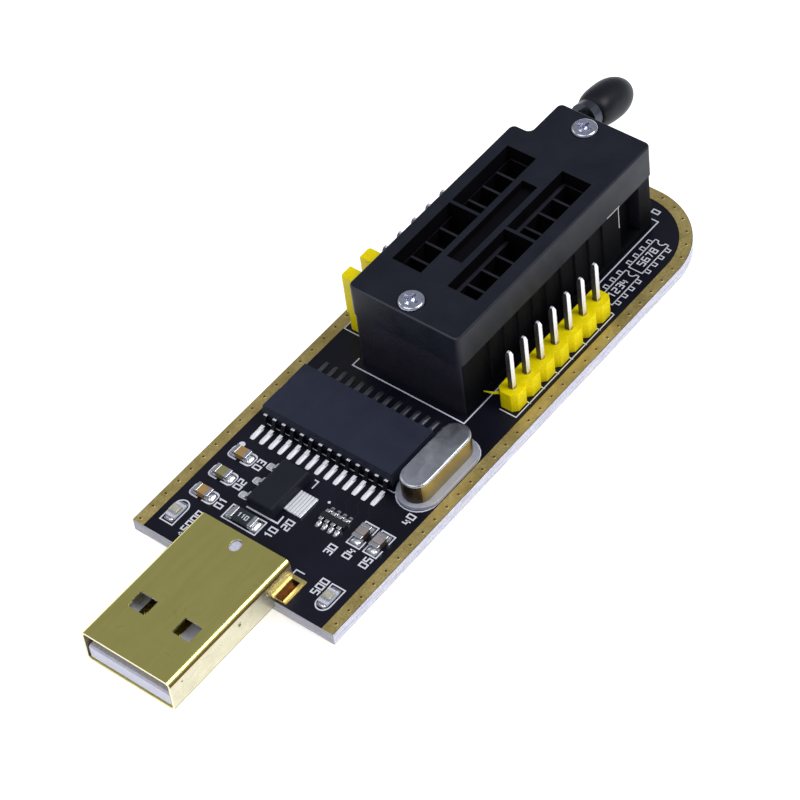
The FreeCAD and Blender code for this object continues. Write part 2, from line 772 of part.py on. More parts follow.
def regulator_leads():
    """Three leads bent down to the board on one side, and a wide flat tab on the other."""
    half = regulator_body[1] / 2
    width, thickness = regulator_lead
    pieces = []
    for i in (-1, 0, 1):
        lead = gull_lead(half, half + regulator_reach, 0, regulator_lead_z, width, thickness, regulator_foot)
        lead.rotate(V(0, 0, 0), UP, 90)
        lead.translate(V(regulator_x + i * regulator_lead_pitch, regulator_y, 0))
        pieces.append(lead)
    edge = regulator_y - half
    pieces.append(box(regulator_x - regulator_tab_width / 2, regulator_x + regulator_tab_width / 2,
                      edge - regulator_tab_reach, edge, 0, thickness))
    return pieces


# ---- crystal --------------------------------------------------------------------------------

def stadium(length, width, z0, z1):
    return oval(crystal_x, crystal_y, length, width, z0, z1)


def crystal_lead_places():
    return [(crystal_x + s * crystal_lead_spacing / 2, crystal_y) for s in (-1, 1)]


def crystal_base():
    length, width, height = crystal_flange
    plate = stadium(length, width, crystal_standoff, crystal_standoff + height)
    bores = [rod(crystal_bore_radius, V(x, y, -1), V(x, y, 1)) for x, y in crystal_lead_places()]
    return plate.cut(bores)


def crystal_cover():
    """Drawn can with rounded top edges, hollow, standing on the flange."""
    length, width = crystal_can
    low = crystal_standoff + crystal_flange[2]
    can = round_rim(stadium(length, width, low, crystal_top), crystal_top, crystal_rim)
    inside = stadium(length - 2 * crystal_wall, width - 2 * crystal_wall, low - 1, crystal_top - crystal_wall)
    return can.cut(inside)


def crystal_leads():
    return [rod(crystal_lead_radius, V(x, y, -tail_depth), V(x, y, crystal_lead_top))
            for x, y in crystal_lead_places()]


# ---- small surface-mount parts --------------------------------------------------------------

def end_caps_and_core(cx, cy, size, cap, along):
    """Chip component split into its middle and its two metal end caps."""
    length, width, height = size
    middle = length - 2 * cap
    slim = width - core_inset
    if along == "X":
        whole = block(cx, cy, length, width, 0, height)
        core = block(cx, cy, middle, slim, core_inset, height - core_inset)
        removed = block(cx, cy, middle, 2 * width, -1, 2 * height)
    else:
        whole = block(cx, cy, width, length, 0, height)
        core = block(cx, cy, slim, middle, core_inset, height - core_inset)
        removed = block(cx, cy, 2 * width, middle, -1, 2 * height)
    return core, whole.cut(removed).Solids


def resistor_array():
    """Four resistors side by side in one ceramic chip, with eight terminals."""
    cx, cy = array_centre
    cap, breadth = array_terminal
    body = block(cx, cy, array_width - 2 * cap, array_length, core_inset, array_height - core_inset)
    terminals = []
    for s in (-1, 1):
        for i in (-1.5, -0.5, 0.5, 1.5):
            x = cx + s * (array_width - cap) / 2
            terminals.append(block(x, cy + i * array_pitch, cap, breadth, 0, array_height))
    return body, terminals


def led(cx, cy):
    length, width, height = led_size
    base = block(cx, cy, length, width, 0.0, height)
    lens_length, lens_width, lens_height = led_lens
    lens = block(cx, cy, lens_length, lens_width, height, height + lens_height)
    top = [e for e in lens.Edges if e.BoundBox.ZMin > height + lens_height - 0.01]
    return base, lens.makeChamfer(led_lens_chamfer, top)


# ---- solder below the board -----------------------------------------------------------------

def solder_cone(x, y, hole):
    """Fillet of solder round one tail, with the tail's own space left open."""
    tip, foot, height = solder_fillet
    cone = Part.makeCone(tip, foot, height, V(x, y, -board_thickness - height), UP)
    return cone.cut(hole)


def row_solder(places, side_x, side_y):
    low = -tail_depth - 1
    return [solder_cone(x, y, block(x, y, side_x, side_y, low, 1)) for x, y in places]


def crystal_solder():
    low = -tail_depth - 1
    return [solder_cone(x, y, rod(crystal_lead_radius, V(x, y, low), V(x, y, 1)))
            for x, y in crystal_lead_places()]


# ---- build ----------------------------------------------------------------------------------

def build():
    os.makedirs("parts", exist_ok=True)
    save("circuit_board", board())

    save("usb_shell", plug_shell())
    save("usb_insulator", plug_insulator())
    save("usb_contacts", [plug_contact(plug_y + y) for y in contact_offsets])
    save("usb_leg_solder", plug_solder())

    save("zif_base", zif_base())
    save("zif_cover", zif_cover())
    save("zif_slider", zif_slider())
    save("zif_contacts_left", [zif_contact(x, zif_y + row_offset) for x in contact_xs])
    save("zif_contacts_right", [zif_contact(x, zif_y - row_offset) for x in contact_xs])
    save("zif_screws", [zif_screw(x) for x in (screw_front_x, screw_back_x)])
    save("zif_lever_arm", lever_arm())
    save("zif_lever_knob", lever_knob())

    for side, y in (("left", header_left_y), ("right", header_right_y)):
        save(side + "_header_housing", header_housing(y))
        save(side + "_header_pins", header_pin_row(y))
        save(side + "_header_solder", row_solder([(x, y) for x in header_xs], pin_side, pin_side))
    save("jumper_housing", jumper_housing())
    save("jumper_clip", jumper_clip())
    sockets = [(x, zif_y + s * row_offset) for x in contact_xs for s in (-1, 1)]
    save("zif_solder", row_solder(sockets, *zif_tail))

    save("controller_body", chip_body())
    save("controller_leads", chip_leads())
    save("regulator_body", regulator_housing())
    save("regulator_leads", regulator_leads())
    save("crystal_base", crystal_base())
    save("crystal_can", crystal_cover())
    save("crystal_leads", crystal_leads())
    save("crystal_solder", crystal_solder())

    for name, (x, y, along) in CAPACITORS.items():
        core, caps = end_caps_and_core(x, y, capacitor_size, capacitor_cap, along)
        save("capacitor_" + name + "_body", core)
        save("capacitor_" + name + "_caps", caps)
    core, caps = end_caps_and_core(*fuse_centre, fuse_size, fuse_cap, "Y")
    save("fuse_body", core)
    save("fuse_caps", caps)
    body, terminals = resistor_array()
    save("resistor_array_body", body)
    save("resistor_array_terminals", terminals)
    for name, (x, y) in LEDS.items():
        base, lens = led(x, y)
        save(name + "_base", base)
        save(name + "_lens", lens)


build()
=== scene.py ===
import math
import random

import bmesh
import bpy
from mathutils import Matrix, Vector


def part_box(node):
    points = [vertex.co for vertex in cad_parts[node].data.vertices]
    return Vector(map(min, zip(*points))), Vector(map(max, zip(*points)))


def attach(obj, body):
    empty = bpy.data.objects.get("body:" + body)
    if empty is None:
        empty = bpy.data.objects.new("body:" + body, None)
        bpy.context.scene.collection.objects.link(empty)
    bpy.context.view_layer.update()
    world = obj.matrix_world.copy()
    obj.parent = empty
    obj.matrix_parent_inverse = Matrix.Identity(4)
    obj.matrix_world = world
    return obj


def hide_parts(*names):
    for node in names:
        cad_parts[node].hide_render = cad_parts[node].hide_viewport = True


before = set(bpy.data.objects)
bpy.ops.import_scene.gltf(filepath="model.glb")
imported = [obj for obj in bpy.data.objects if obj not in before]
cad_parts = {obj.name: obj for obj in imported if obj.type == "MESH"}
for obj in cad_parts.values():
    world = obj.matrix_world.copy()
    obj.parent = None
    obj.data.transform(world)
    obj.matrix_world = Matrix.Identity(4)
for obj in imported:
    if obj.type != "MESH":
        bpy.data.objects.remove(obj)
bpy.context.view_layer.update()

# Looks of the USB memory-chip programmer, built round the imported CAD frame.
#
# Detail on the circuit board is drawn in board coordinates, in millimetres: X from the plug
# edge of the board to the lever end, Y across the board, Z up from the board's top face.

MM = 0.001
BOARD_LOW, BOARD_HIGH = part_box("circuit_board")
LENGTH = (BOARD_HIGH.x - BOARD_LOW.x) / MM
HALF = (BOARD_HIGH.y - BOARD_LOW.y) / 2 / MM
THICKNESS = (BOARD_HIGH.z - BOARD_LOW.z) / MM
END_RADIUS = 9.0
random.seed(7)


def at(x, y, z=0.0):
    """Frame position, in metres, of a point in board coordinates."""
    return Vector((BOARD_LOW.x + x * MM, y * MM, BOARD_HIGH.z + z * MM))


def span(*nodes):
    """Box round CAD nodes in board coordinates: x0, x1, y0, y1, z0, z1."""
    boxes = [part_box(node) for node in nodes]
    low = [min(b[0][i] for b in boxes) for i in range(3)]
    high = [max(b[1][i] for b in boxes) for i in range(3)]
    base = at(0, 0)
    x0, y0, z0 = [(a - b) / MM for a, b in zip(low, base)]
    x1, y1, z1 = [(a - b) / MM for a, b in zip(high, base)]
    return x0, x1, y0, y1, z0, z1


def centre(node):
    x0, x1, y0, y1, _, _ = span(node)
    return (x0 + x1) / 2, (y0 + y1) / 2


def solids(node):
    """Boxes of the separate solids of one CAD node, in board coordinates, sorted by place."""
    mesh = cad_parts[node].data
    bm = bmesh.new()
    bm.from_mesh(mesh)
    bmesh.ops.remove_doubles(bm, verts=bm.verts, dist=1e-7)
    base = at(0, 0)
    unseen = set(bm.verts)
    found = []
    while unseen:
        group = [unseen.pop()]
        for vert in group:
            for edge in vert.link_edges:
                other = edge.other_vert(vert)
                if other in unseen:
                    unseen.discard(other)
                    group.append(other)
        places = [(v.co - base) / MM for v in group]
        low = [min(p[i] for p in places) for i in range(3)]
        high = [max(p[i] for p in places) for i in range(3)]
        found.append((low[0], high[0], low[1], high[1], low[2], high[2]))
    bm.free()
    return sorted(tuple(round(value, 4) for value in item) for item in found)


def middles(node):
    """Plan centres of the separate solids of one CAD node, in the same order."""
    return [((x0 + x1) / 2, (y0 + y1) / 2) for x0, x1, y0, y1, _, _ in solids(node)]


# ---- materials

def srgb(r, g, b):
    """Linear colour from screen values between 0 and 255."""
    def linear(value):
        value /= 255
        return value / 12.92 if value <= 0.04045 else ((value + 0.055) / 1.055) ** 2.4
    return linear(r), linear(g), linear(b)


def scaled(color, factor):
    return tuple(min(1.0, channel * factor) for channel in color)


class Shader:
    """A Principled material with procedural colour, roughness and relief in object space."""

    def __init__(self, name, roughness=0.5, metallic=0.0, **inputs):
        self.material = bpy.data.materials.new(name)
        self.material.use_nodes = True
        self.tree = self.material.node_tree
        self.tree.nodes.clear()
        output = self.tree.nodes.new("ShaderNodeOutputMaterial")
        self.bsdf = self.tree.nodes.new("ShaderNodeBsdfPrincipled")
        self.tree.links.new(self.bsdf.outputs["BSDF"], output.inputs["Surface"])
        self.bsdf.inputs["Roughness"].default_value = roughness
        self.bsdf.inputs["Metallic"].default_value = metallic
        for socket, value in inputs.items():
            self.bsdf.inputs[socket.replace("_", " ")].default_value = value
        self.coordinates = self.tree.nodes.new("ShaderNodeTexCoord").outputs["Object"]

    def link(self, output, socket):
        self.tree.links.new(output, socket)

    def noise(self, scale, detail=3.0, stretch=(1, 1, 1), distortion=0.0):
        mapping = self.tree.nodes.new("ShaderNodeMapping")
        mapping.inputs["Scale"].default_value = stretch
        self.link(self.coordinates, mapping.inputs["Vector"])
        noise = self.tree.nodes.new("ShaderNodeTexNoise")
        noise.inputs["Scale"].default_value = scale
        noise.inputs["Detail"].default_value = detail
        noise.inputs["Distortion"].default_value = distortion
        self.link(mapping.outputs["Vector"], noise.inputs["Vector"])
        return noise.outputs["Fac"]

    def ramp(self, factor, *stops):
        """Colours placed along a factor; each stop is (position, colour)."""
        ramp = self.tree.nodes.new("ShaderNodeValToRGB")
        elements = ramp.color_ramp.elements
        while len(elements) < len(stops):
            elements.new(0.5)
        for element, (position, color) in zip(elements, stops):
            element.position = position
            element.color = (*color, 1.0)
        self.link(factor, ramp.inputs["Fac"])
        return ramp.outputs["Color"]

    def remap(self, factor, low, high, to_low, to_high):
        node = self.tree.nodes.new("ShaderNodeMapRange")
        for socket, value in (("From Min", low), ("From Max", high), ("To Min", to_low), ("To Max", to_high)):
            node.inputs[socket].default_value = value
        self.link(factor, node.inputs["Value"])
        return node.outputs["Result"]

    def mix(self, a, b, factor, blend="MIX"):
        """Mixes two colours; a or b may be an output or a fixed colour."""
        node = self.tree.nodes.new("ShaderNodeMix")
        node.data_type = "RGBA"
        node.blend_type = blend
        for value, socket in ((factor, node.inputs[0]), (a, node.inputs[6]), (b, node.inputs[7])):
            if isinstance(value, bpy.types.NodeSocket):
                self.link(value, socket)
            elif isinstance(value, tuple):
                socket.default_value = (*value, 1.0)
            else:
                socket.default_value = value
        return node.outputs[2]

    def color(self, output):
        self.link(output, self.bsdf.inputs["Base Color"])

    def rough(self, factor, low, high):
        self.link(self.remap(factor, 0.3, 0.7, low, high), self.bsdf.inputs["Roughness"])

    def relief(self, height, distance, strength=1.0):
        bump = self.tree.nodes.new("ShaderNodeBump")
        bump.inputs["Strength"].default_value = strength
        bump.inputs["Distance"].default_value = distance * MM
        self.link(height, bump.inputs["Height"])
        self.link(bump.outputs["Normal"], self.bsdf.inputs["Normal"])


def moulded(name, color, roughness=0.4, grain=0.01, grain_scale=5000, spread=0.12, **inputs):
    """Moulded plastic: slight blotches, a fine spark-eroded grain and uneven gloss."""
    shader = Shader(name, **inputs)
    blotch = shader.noise(350, 4)
    fine = shader.noise(grain_scale, 2)
    tone = shader.ramp(blotch, (0.3, scaled(color, 1 - spread)), (0.7, scaled(color, 1 + spread)))
    speck = shader.ramp(fine, (0.35, (0.88,) * 3), (0.65, (1.0,) * 3))
    shader.color(shader.mix(tone, speck, 1.0, "MULTIPLY"))
    shader.rough(blotch, roughness - 0.05, roughness + 0.07)
    shader.relief(fine, grain)
    return shader.material


def metal(name, color, roughness=0.3, spread=0.12, grain=0.004, stretch=(1, 1, 1), blotch_scale=500,
          grain_scale=3500, metallic=1.0, **inputs):
    """Plated or rolled metal with faint tarnish and streaks along one axis."""
    shader = Shader(name, metallic=metallic, **inputs)
    blotch = shader.noise(blotch_scale, 5, distortion=0.6)
    streak = shader.noise(grain_scale, 3, stretch)
    tone = shader.ramp(blotch, (0.3, scaled(color, 1 - spread)), (0.7, scaled(color, 1 + spread / 2)))
    fine = shader.ramp(streak, (0.35, (0.9,) * 3), (0.65, (1.0,) * 3))
    shader.color(shader.mix(tone, fine, 1.0, "MULTIPLY"))
    shader.rough(streak, roughness - 0.06, roughness + 0.08)
    shader.relief(streak, grain)
    return shader.material


def solder_mask():
    """Glossy black lacquer that shows the copper's relief and a fine orange-peel."""
    shader = Shader("solder_mask", Specular_IOR_Level=0.22)
    blotch = shader.noise(160, 4)
    weave = shader.noise(2600, 2)
    tone = shader.ramp(blotch, (0.3, srgb(10, 10, 22)), (0.7, srgb(18, 19, 34)))
    dust_and_painted_glint = shader.ramp(shader.noise(5200, 1), (0.70, (0.0,) * 3), (0.80, srgb(52, 54, 66)))
    shader.color(shader.mix(tone, dust_and_painted_glint, 0.35, "ADD"))
    shader.rough(blotch, 0.3, 0.42)
    shader.relief(weave, 0.006)
    return shader.material


def glass_laminate(name, shade):
    """Cut edge of the board: pale resin with glass layers and rough fibre ends."""
    shader = Shader(name, Subsurface_Weight=0.1, Subsurface_Scale=0.0008)
    layers = shader.noise(900, 3, (0.4, 0.4, 5.0))
    fibres = shader.noise(4200, 3, (1.0, 1.0, 0.6))
    tone = shader.ramp(layers, (0.32, scaled(srgb(196, 196, 212), shade)),
                       (0.6, scaled(srgb(228, 228, 240), shade)))
    speck = shader.ramp(fibres, (0.36, srgb(222, 222, 230)), (0.56, (1.0,) * 3))
    shader.color(shader.mix(tone, speck, 0.8, "MULTIPLY"))
    shader.rough(fibres, 0.55, 0.8)
    shader.relief(fibres, 0.03)
    return shader.material


def gilded_copper():
    """Bare plated border: flat tan gold, dull, a little mottled."""
    shader = Shader("gilded_copper", metallic=0.85)
    blotch = shader.noise(420, 5, distortion=0.4)
    fine = shader.noise(5200, 2)
    tone = shader.ramp(blotch, (0.3, srgb(182, 162, 98)), (0.7, srgb(214, 194, 126)))
    speck = shader.ramp(fine, (0.3, (0.78,) * 3), (0.62, (1.0,) * 3))
    shader.color(shader.mix(tone, speck, 1.0, "MULTIPLY"))
    shader.rough(fine, 0.42, 0.6)
    shader.relief(fine, 0.008)
    return shader.material


def plug_gold():
    """Thin gold flash over steel, with wipe marks and small tarnished smears."""
    shader = Shader("plug_gold", metallic=1.0)
    streaks = shader.noise(300, 4, (0.5, 3.5, 3.5), 0.3)
    smears = shader.noise(260, 3, (1.6, 0.8, 1.0), 1.2)
    fine = shader.noise(6000, 2)
    tone = shader.ramp(streaks, (0.3, srgb(218, 209, 120)), (0.7, srgb(226, 217, 130)))
    tarnish = shader.ramp(smears, (0.66, (1.0,) * 3), (0.78, (0.72, 0.70, 0.62)))
    shader.color(shader.mix(tone, tarnish, 0.8, "MULTIPLY"))
    shader.rough(smears, 0.2, 0.26)
    shader.relief(fine, 0.002)
    return shader.material


def crystal_steel():
    """Drawn nickel-plated can: satin, with soft handling marks."""
    shader = Shader("crystal_steel", metallic=1.0)
    clouds = shader.noise(520, 4, distortion=1.5)
    fine = shader.noise(6500, 2)
    tone = shader.ramp(clouds, (0.35, srgb(188, 191, 198)), (0.65, srgb(206, 210, 218)))
    shader.color(shader.mix(tone, shader.ramp(fine, (0.3, (0.9,) * 3), (0.7, (1.0,) * 3)), 1.0, "MULTIPLY"))
    shader.rough(clouds, 0.26, 0.38)
    shader.relief(fine, 0.004)
    return shader.material


def lens_resin():
    shader = Shader("lens_resin", roughness=0.15, Transmission_Weight=0.55, IOR=1.5)
    cloud = shader.noise(1800, 2)
    shader.color(shader.ramp(cloud, (0.35, srgb(226, 224, 200)), (0.65, srgb(246, 245, 232))))
    shader.relief(cloud, 0.01)
    return shader.material


MASK = solder_mask()
LAMINATE = glass_laminate("glass_laminate", 0.86)
# darker copy of the laminate for the board's plug end face: painted shade
LAMINATE_PAINTED_SHADE = glass_laminate("laminate_painted_shade", 0.52)
BORDER = gilded_copper()
GOLD = plug_gold()
# Copies of the plug's gold for painted light: a pale sheen on the sides, a highlight on the cut edges, a
# glint on the slot walls, and dark reflection or shade in folds and dimples.
GOLD_SIDE_PAINTED_SHEEN = metal("gold_side_painted_sheen", srgb(206, 201, 176), 0.3, 0.1, 0.003, (0.3, 1, 1))
GOLD_LIP_PAINTED_HIGHLIGHT = metal("gold_lip_painted_highlight", srgb(250, 243, 212), 0.6, 0.08, 0.01)
GOLD_PAINTED_GLINT = metal("slot_gold_painted_glint", srgb(252, 232, 160), 0.42, 0.1, 0.006)
GOLD_PAINTED_SHADE = metal("gold_painted_shade", srgb(104, 82, 36), 0.4, 0.15, 0.006)
SILK = moulded("silk_ink", srgb(224, 226, 236), 0.6, 0.01, 7000, 0.06)
VIA_HOLE_PAINTED_SHADE = moulded("via_hole_painted_shade", srgb(70, 52, 30), 0.6, 0.01, 4000)
PAD = metal("tinned_pad", srgb(205, 205, 210), 0.34, 0.15, 0.012, blotch_scale=1500)
PIN = metal("pin_tin", srgb(240, 240, 244), 0.3, 0.06, 0.001, (1, 1, 0.15), metallic=0.55)
PIN_BASE_PAINTED_SHADE = moulded("pin_base_painted_shade", srgb(176, 132, 0), 0.45, 0.008, 4200)
SOLDER = metal("solder", srgb(214, 215, 220), 0.2, 0.1, 0.008, blotch_scale=1300)
TIN = metal("tin_plate", srgb(222, 222, 226), 0.24, 0.1, 0.003, (1, 1, 0.15))
# Lit and shaded copies of tin: painted shade, painted highlight, and painted shade on lead slopes.
TIN_PAINTED_SHADE = metal("tin_painted_shade", srgb(105, 106, 114), 0.5, 0.2, 0.01)
TIN_PAINTED_HIGHLIGHT = metal("tin_painted_highlight", srgb(246, 247, 252), 0.42, 0.08, 0.01, blotch_scale=1300, metallic=0.12)
LEAD_SLOPE_PAINTED_SHADE = metal("lead_slope_painted_shade", srgb(46, 47, 54), 0.5, 0.2, 0.01)
TAB = metal("ribbed_tab", srgb(244, 246, 255), 0.36, 0.12, 0.03, (0.05, 1, 1), grain_scale=2600)
INSULATOR = moulded("insulator_white", srgb(206, 207, 226), 0.45, 0.006, 4200, 0.05,
                    Subsurface_Weight=0.15, Subsurface_Scale=0.001)
SOCKET = moulded("socket_black", srgb(21, 24, 37), 0.45, 0.014, 4600, 0.16, Specular_IOR_Level=0.25)
BASE_SIDE_PAINTED_SHADE = moulded("base_black_painted_shade", srgb(8, 9, 14), 0.55, 0.014, 4600, 0.16, Specular_IOR_Level=0.06)
PIT = moulded("shaded_black", srgb(12, 11, 16), 0.6, 0.014, 4600, 0.16, Specular_IOR_Level=0.06)
BASE_FRONT_PAINTED_LIGHT = moulded("base_front_painted_light", srgb(34, 32, 44), 0.5, 0.014, 4600, 0.16, Specular_IOR_Level=0.2)
COVER_EDGE_PAINTED_HIGHLIGHT = moulded("cover_edge_painted_highlight", srgb(48, 51, 64), 0.4, 0.01, 4600, 0.16)
COMB_TOP_PAINTED_LIGHT = moulded("comb_top_painted_light", srgb(44, 41, 50), 0.5, 0.01, 5200, 0.16, Specular_IOR_Level=0.2)
KNOB = moulded("knob_black", srgb(13, 16, 26), 0.45, 0.008, 3200, 0.15, Specular_IOR_Level=0.25)
SIDE_PAINTED_GLINT = moulded("dust_and_painted_glint", srgb(190, 190, 196), 0.8, 0.02, 6000)
EPOXY = moulded("chip_epoxy", srgb(36, 40, 58), 0.6, 0.02, 7000, 0.12, Specular_IOR_Level=0.25)
DARK_EPOXY = moulded("regulator_epoxy", srgb(24, 27, 38), 0.6, 0.02, 7000, 0.12, Specular_IOR_Level=0.25)
YELLOW = moulded("header_yellow", srgb(244, 224, 0), 0.45, 0.008, 4200, 0.08, Specular_IOR_Level=0.16,
                 Subsurface_Weight=0.08, Subsurface_Scale=0.0006)
ZINC = metal("screw_zinc", srgb(205, 208, 224), 0.2, 0.2, 0.012, blotch_scale=1800)
STEEL = metal("lever_steel", srgb(82, 86, 96), 0.4, 0.12, 0.006, (0.1, 1, 1))
CRYSTAL = crystal_steel()
CAN_SIDE_PAINTED_REFLECTION = metal("can_side_painted_reflection", srgb(150, 134, 84), 0.34, 0.1, 0.004)
FLANGE = metal("crystal_flange", srgb(186, 190, 206), 0.45, 0.08, 0.004, metallic=0.35)
CAN_END_PAINTED_SHADE = metal("can_end_painted_shade", srgb(84, 70, 52), 0.4, 0.15, 0.004)
CERAMIC = moulded("capacitor_ceramic", srgb(165, 130, 75), 0.5, 0.01, 6000)
CERAMIC_OLIVE = moulded("capacitor_olive", srgb(130, 125, 80), 0.5, 0.01, 6000)
CERAMIC_TOP_PAINTED_LIGHT = moulded("capacitor_top_painted_light", srgb(150, 140, 140), 0.5, 0.01, 6000)
CERAMIC_SIDE_PAINTED_SHADE = moulded("capacitor_side_painted_shade", srgb(60, 45, 35), 0.5, 0.01, 6000)
FUSE = moulded("fuse_coat", srgb(36, 46, 50), 0.3, 0.01, 5200, 0.2)
ARRAY = moulded("array_coat", srgb(26, 28, 34), 0.35, 0.01, 6000, 0.2)
LENS = lens_resin()
BROWN_SOLDER = metal("brown_leg_solder", srgb(80, 46, 18), 0.3, 0.3, 0.02, blotch_scale=1600)
TRACE = moulded("trace_relief", srgb(17, 18, 32), 0.34, 0.006, 2600, 0.1, Specular_IOR_Level=0.25)


# ---- mesh helpers

def finish_piece(name, bm, materials, body="programmer", nodes=(), sharp=35.0):
    """Turns a bmesh in metres into a shaded piece that rides on a body."""
    bmesh.ops.recalc_face_normals(bm, faces=bm.faces)
    mesh = bpy.data.meshes.new(name)
    bm.to_mesh(mesh)
    bm.free()
    for material in materials:
        mesh.materials.append(material)
    mesh.shade_smooth()
    mesh.set_sharp_from_angle(angle=math.radians(sharp))
    piece = bpy.data.objects.new(name, mesh)
    bpy.context.scene.collection.objects.link(piece)
    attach(piece, body)
    if nodes:
        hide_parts(*nodes)
    return piece


def refine(name, node, material, body="programmer", bevel=0.06, segments=2, angle=32.0, sort=None):
    """Copy of a CAD node with merged flats, rounded edges and smooth shading, in the node's place."""
    bm = bmesh.new()
    bm.from_mesh(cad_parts[node].data)
    bmesh.ops.remove_doubles(bm, verts=bm.verts, dist=2e-6)
    bmesh.ops.dissolve_limit(bm, angle_limit=math.radians(0.8), verts=bm.verts, edges=bm.edges)
    materials = material if isinstance(material, list) else [material]
    if sort:
        bm.normal_update()
        for face in bm.faces:
            face.material_index = sort(face)
    piece = finish_piece(name, bm, materials, body, (node,), angle)
    if bevel:
        modifier = piece.modifiers.new("rounded_edges", "BEVEL")
        modifier.width = bevel * MM
        modifier.segments = segments
        modifier.limit_method = "ANGLE"
        modifier.angle_limit = math.radians(angle)
        modifier.use_clamp_overlap = True
        modifier.harden_normals = True
    return piece


def prism(bm, outline, z0, z1, index=0):
    """Closed prism on an outline of board points."""
    low = [bm.verts.new(at(x, y, z0)) for x, y in outline]
    high = [bm.verts.new(at(x, y, z1)) for x, y in outline]
    faces = [bm.faces.new(low[::-1]), bm.faces.new(high)]
    count = len(outline)
    for i in range(count):
        j = (i + 1) % count
        faces.append(bm.faces.new((low[i], low[j], high[j], high[i])))
    for face in faces:
        face.material_index = index


def arc(cx, cy, radius_x, radius_y, degrees):
    """Points of an arc at the given angles from +X. A negative radius mirrors it."""
    turns = [math.radians(value) for value in degrees]
    return [(cx + radius_x * math.cos(turn), cy + radius_y * math.sin(turn)) for turn in turns]


def rounded(cx, cy, size_x, size_y, radius, steps=4):
    """Outline of a rounded rectangle."""
    points = []
    for quarter, (sx, sy) in enumerate(((1, 1), (-1, 1), (-1, -1), (1, -1))):
        corner_x = cx + sx * (size_x / 2 - radius)
        corner_y = cy + sy * (size_y / 2 - radius)
        turns = [90 * quarter + 90 * i / steps for i in range(steps + 1)]
        points += arc(corner_x, corner_y, radius, radius, turns)
    return points


def circle(cx, cy, radius, steps=16):
    return arc(cx, cy, radius, radius, [360 * i / steps for i in range(steps)])


def offset_line(points, distance, closed=False):
    """Points of a polyline moved sideways with mitred corners."""
    result = []
    count = len(points)
    for i, (x, y) in enumerate(points):
        before = points[(i - 1) % count] if closed or i > 0 else None
        after = points[(i + 1) % count] if closed or i < count - 1 else None
        normals = []
        for a, b in ((before, (x, y)), ((x, y), after)):
            if a is None or b is None:
                continue
            length = math.hypot(b[0] - a[0], b[1] - a[1])
            normals.append(((a[1] - b[1]) / length, (b[0] - a[0]) / length))
        nx = sum(n[0] for n in normals)
        ny = sum(n[1] for n in normals)
        norm = math.hypot(nx, ny)
        nx, ny = nx / norm, ny / norm
        stretch = 1 / max(0.4, nx * normals[0][0] + ny * normals[0][1])
        result.append((x + nx * distance * stretch, y + ny * distance * stretch))
    return result


def strip(bm, left, right, z0, z1, closed=False, index=0):
    """Closed band between two lines of board points."""
    rails = [[bm.verts.new(at(x, y, z)) for x, y in line] for line, z in
             ((left, z0), (right, z0), (right, z1), (left, z1))]
    count = len(left)
    faces = []
    for i in range(count if closed else count - 1):
        j = (i + 1) % count
        for a, b in zip(rails, rails[1:] + rails[:1]):
            faces.append(bm.faces.new((a[i], b[i], b[j], a[j])))
    if not closed:
        faces.append(bm.faces.new([rail[0] for rail in rails]))
        faces.append(bm.faces.new([rail[-1] for rail in rails][::-1]))
    for face in faces:
        face.material_index = index


def stroke(bm, points, width, z0, z1, closed=False, index=0):
    """Band of even width along a line of board points."""
    left = offset_line(points, width / 2, closed)
    right = offset_line(points, -width / 2, closed)
    strip(bm, left, right, z0, z1, closed, index)


def dome(bm, cx, cy, size_x, size_y, base, height, lean=(0.0, 0.0), power=2.6, rings=5, steps=20, index=0):
    """Bead of solder: a closed dome on a rounded plan, with its crest moved by lean."""
    levels = []
    for k in range(rings):
        turn = math.radians(90 * k / rings)
        shrink = math.cos(turn)
        rise = math.sin(turn)
        ring = []
        for i in range(steps):
            a = 2 * math.pi * i / steps
            c, s = math.cos(a), math.sin(a)
            px = math.copysign(abs(c) ** (2 / power), c) * size_x / 2 * shrink
            py = math.copysign(abs(s) ** (2 / power), s) * size_y / 2 * shrink
            place = at(cx + px + lean[0] * rise, cy + py + lean[1] * rise, base + height * rise)
            ring.append(bm.verts.new(place))
        levels.append(ring)
    faces = [bm.faces.new(levels[0][::-1])]
    for low, high in zip(levels, levels[1:]):
        for i in range(steps):
            j = (i + 1) % steps
            faces.append(bm.faces.new((low[i], low[j], high[j], high[i])))
    crest = bm.verts.new(at(cx + lean[0], cy + lean[1], base + height))
    for i in range(steps):
        faces.append(bm.faces.new((levels[-1][i], levels[-1][(i + 1) % steps], crest)))
    for face in faces:
        face.material_index = index


def turned(bm, cx, cy, profile, steps=24, index=0):
    """Solid of revolution about an upright axis.

    The profile's (radius, z) points run from axis to axis, or close on themselves as a ring.
    """
    rings = []
    for radius, z in profile:
        if radius == 0:
            rings.append([bm.verts.new(at(cx, cy, z))])
        else:
            rings.append([bm.verts.new(at(x, y, z)) for x, y in circle(cx, cy, radius, steps)])
    loop = profile[0][0] != 0
    pairs = list(zip(rings, rings[1:])) + ([(rings[-1], rings[0])] if loop else [])
    for low, high in pairs:
        for i in range(steps):
            j = (i + 1) % steps
            corners = [low[i % len(low)], low[j % len(low)], high[j % len(high)], high[i % len(high)]]
            unique = list(dict.fromkeys(corners))
            bm.faces.new(unique).material_index = index


# ---- circuit board

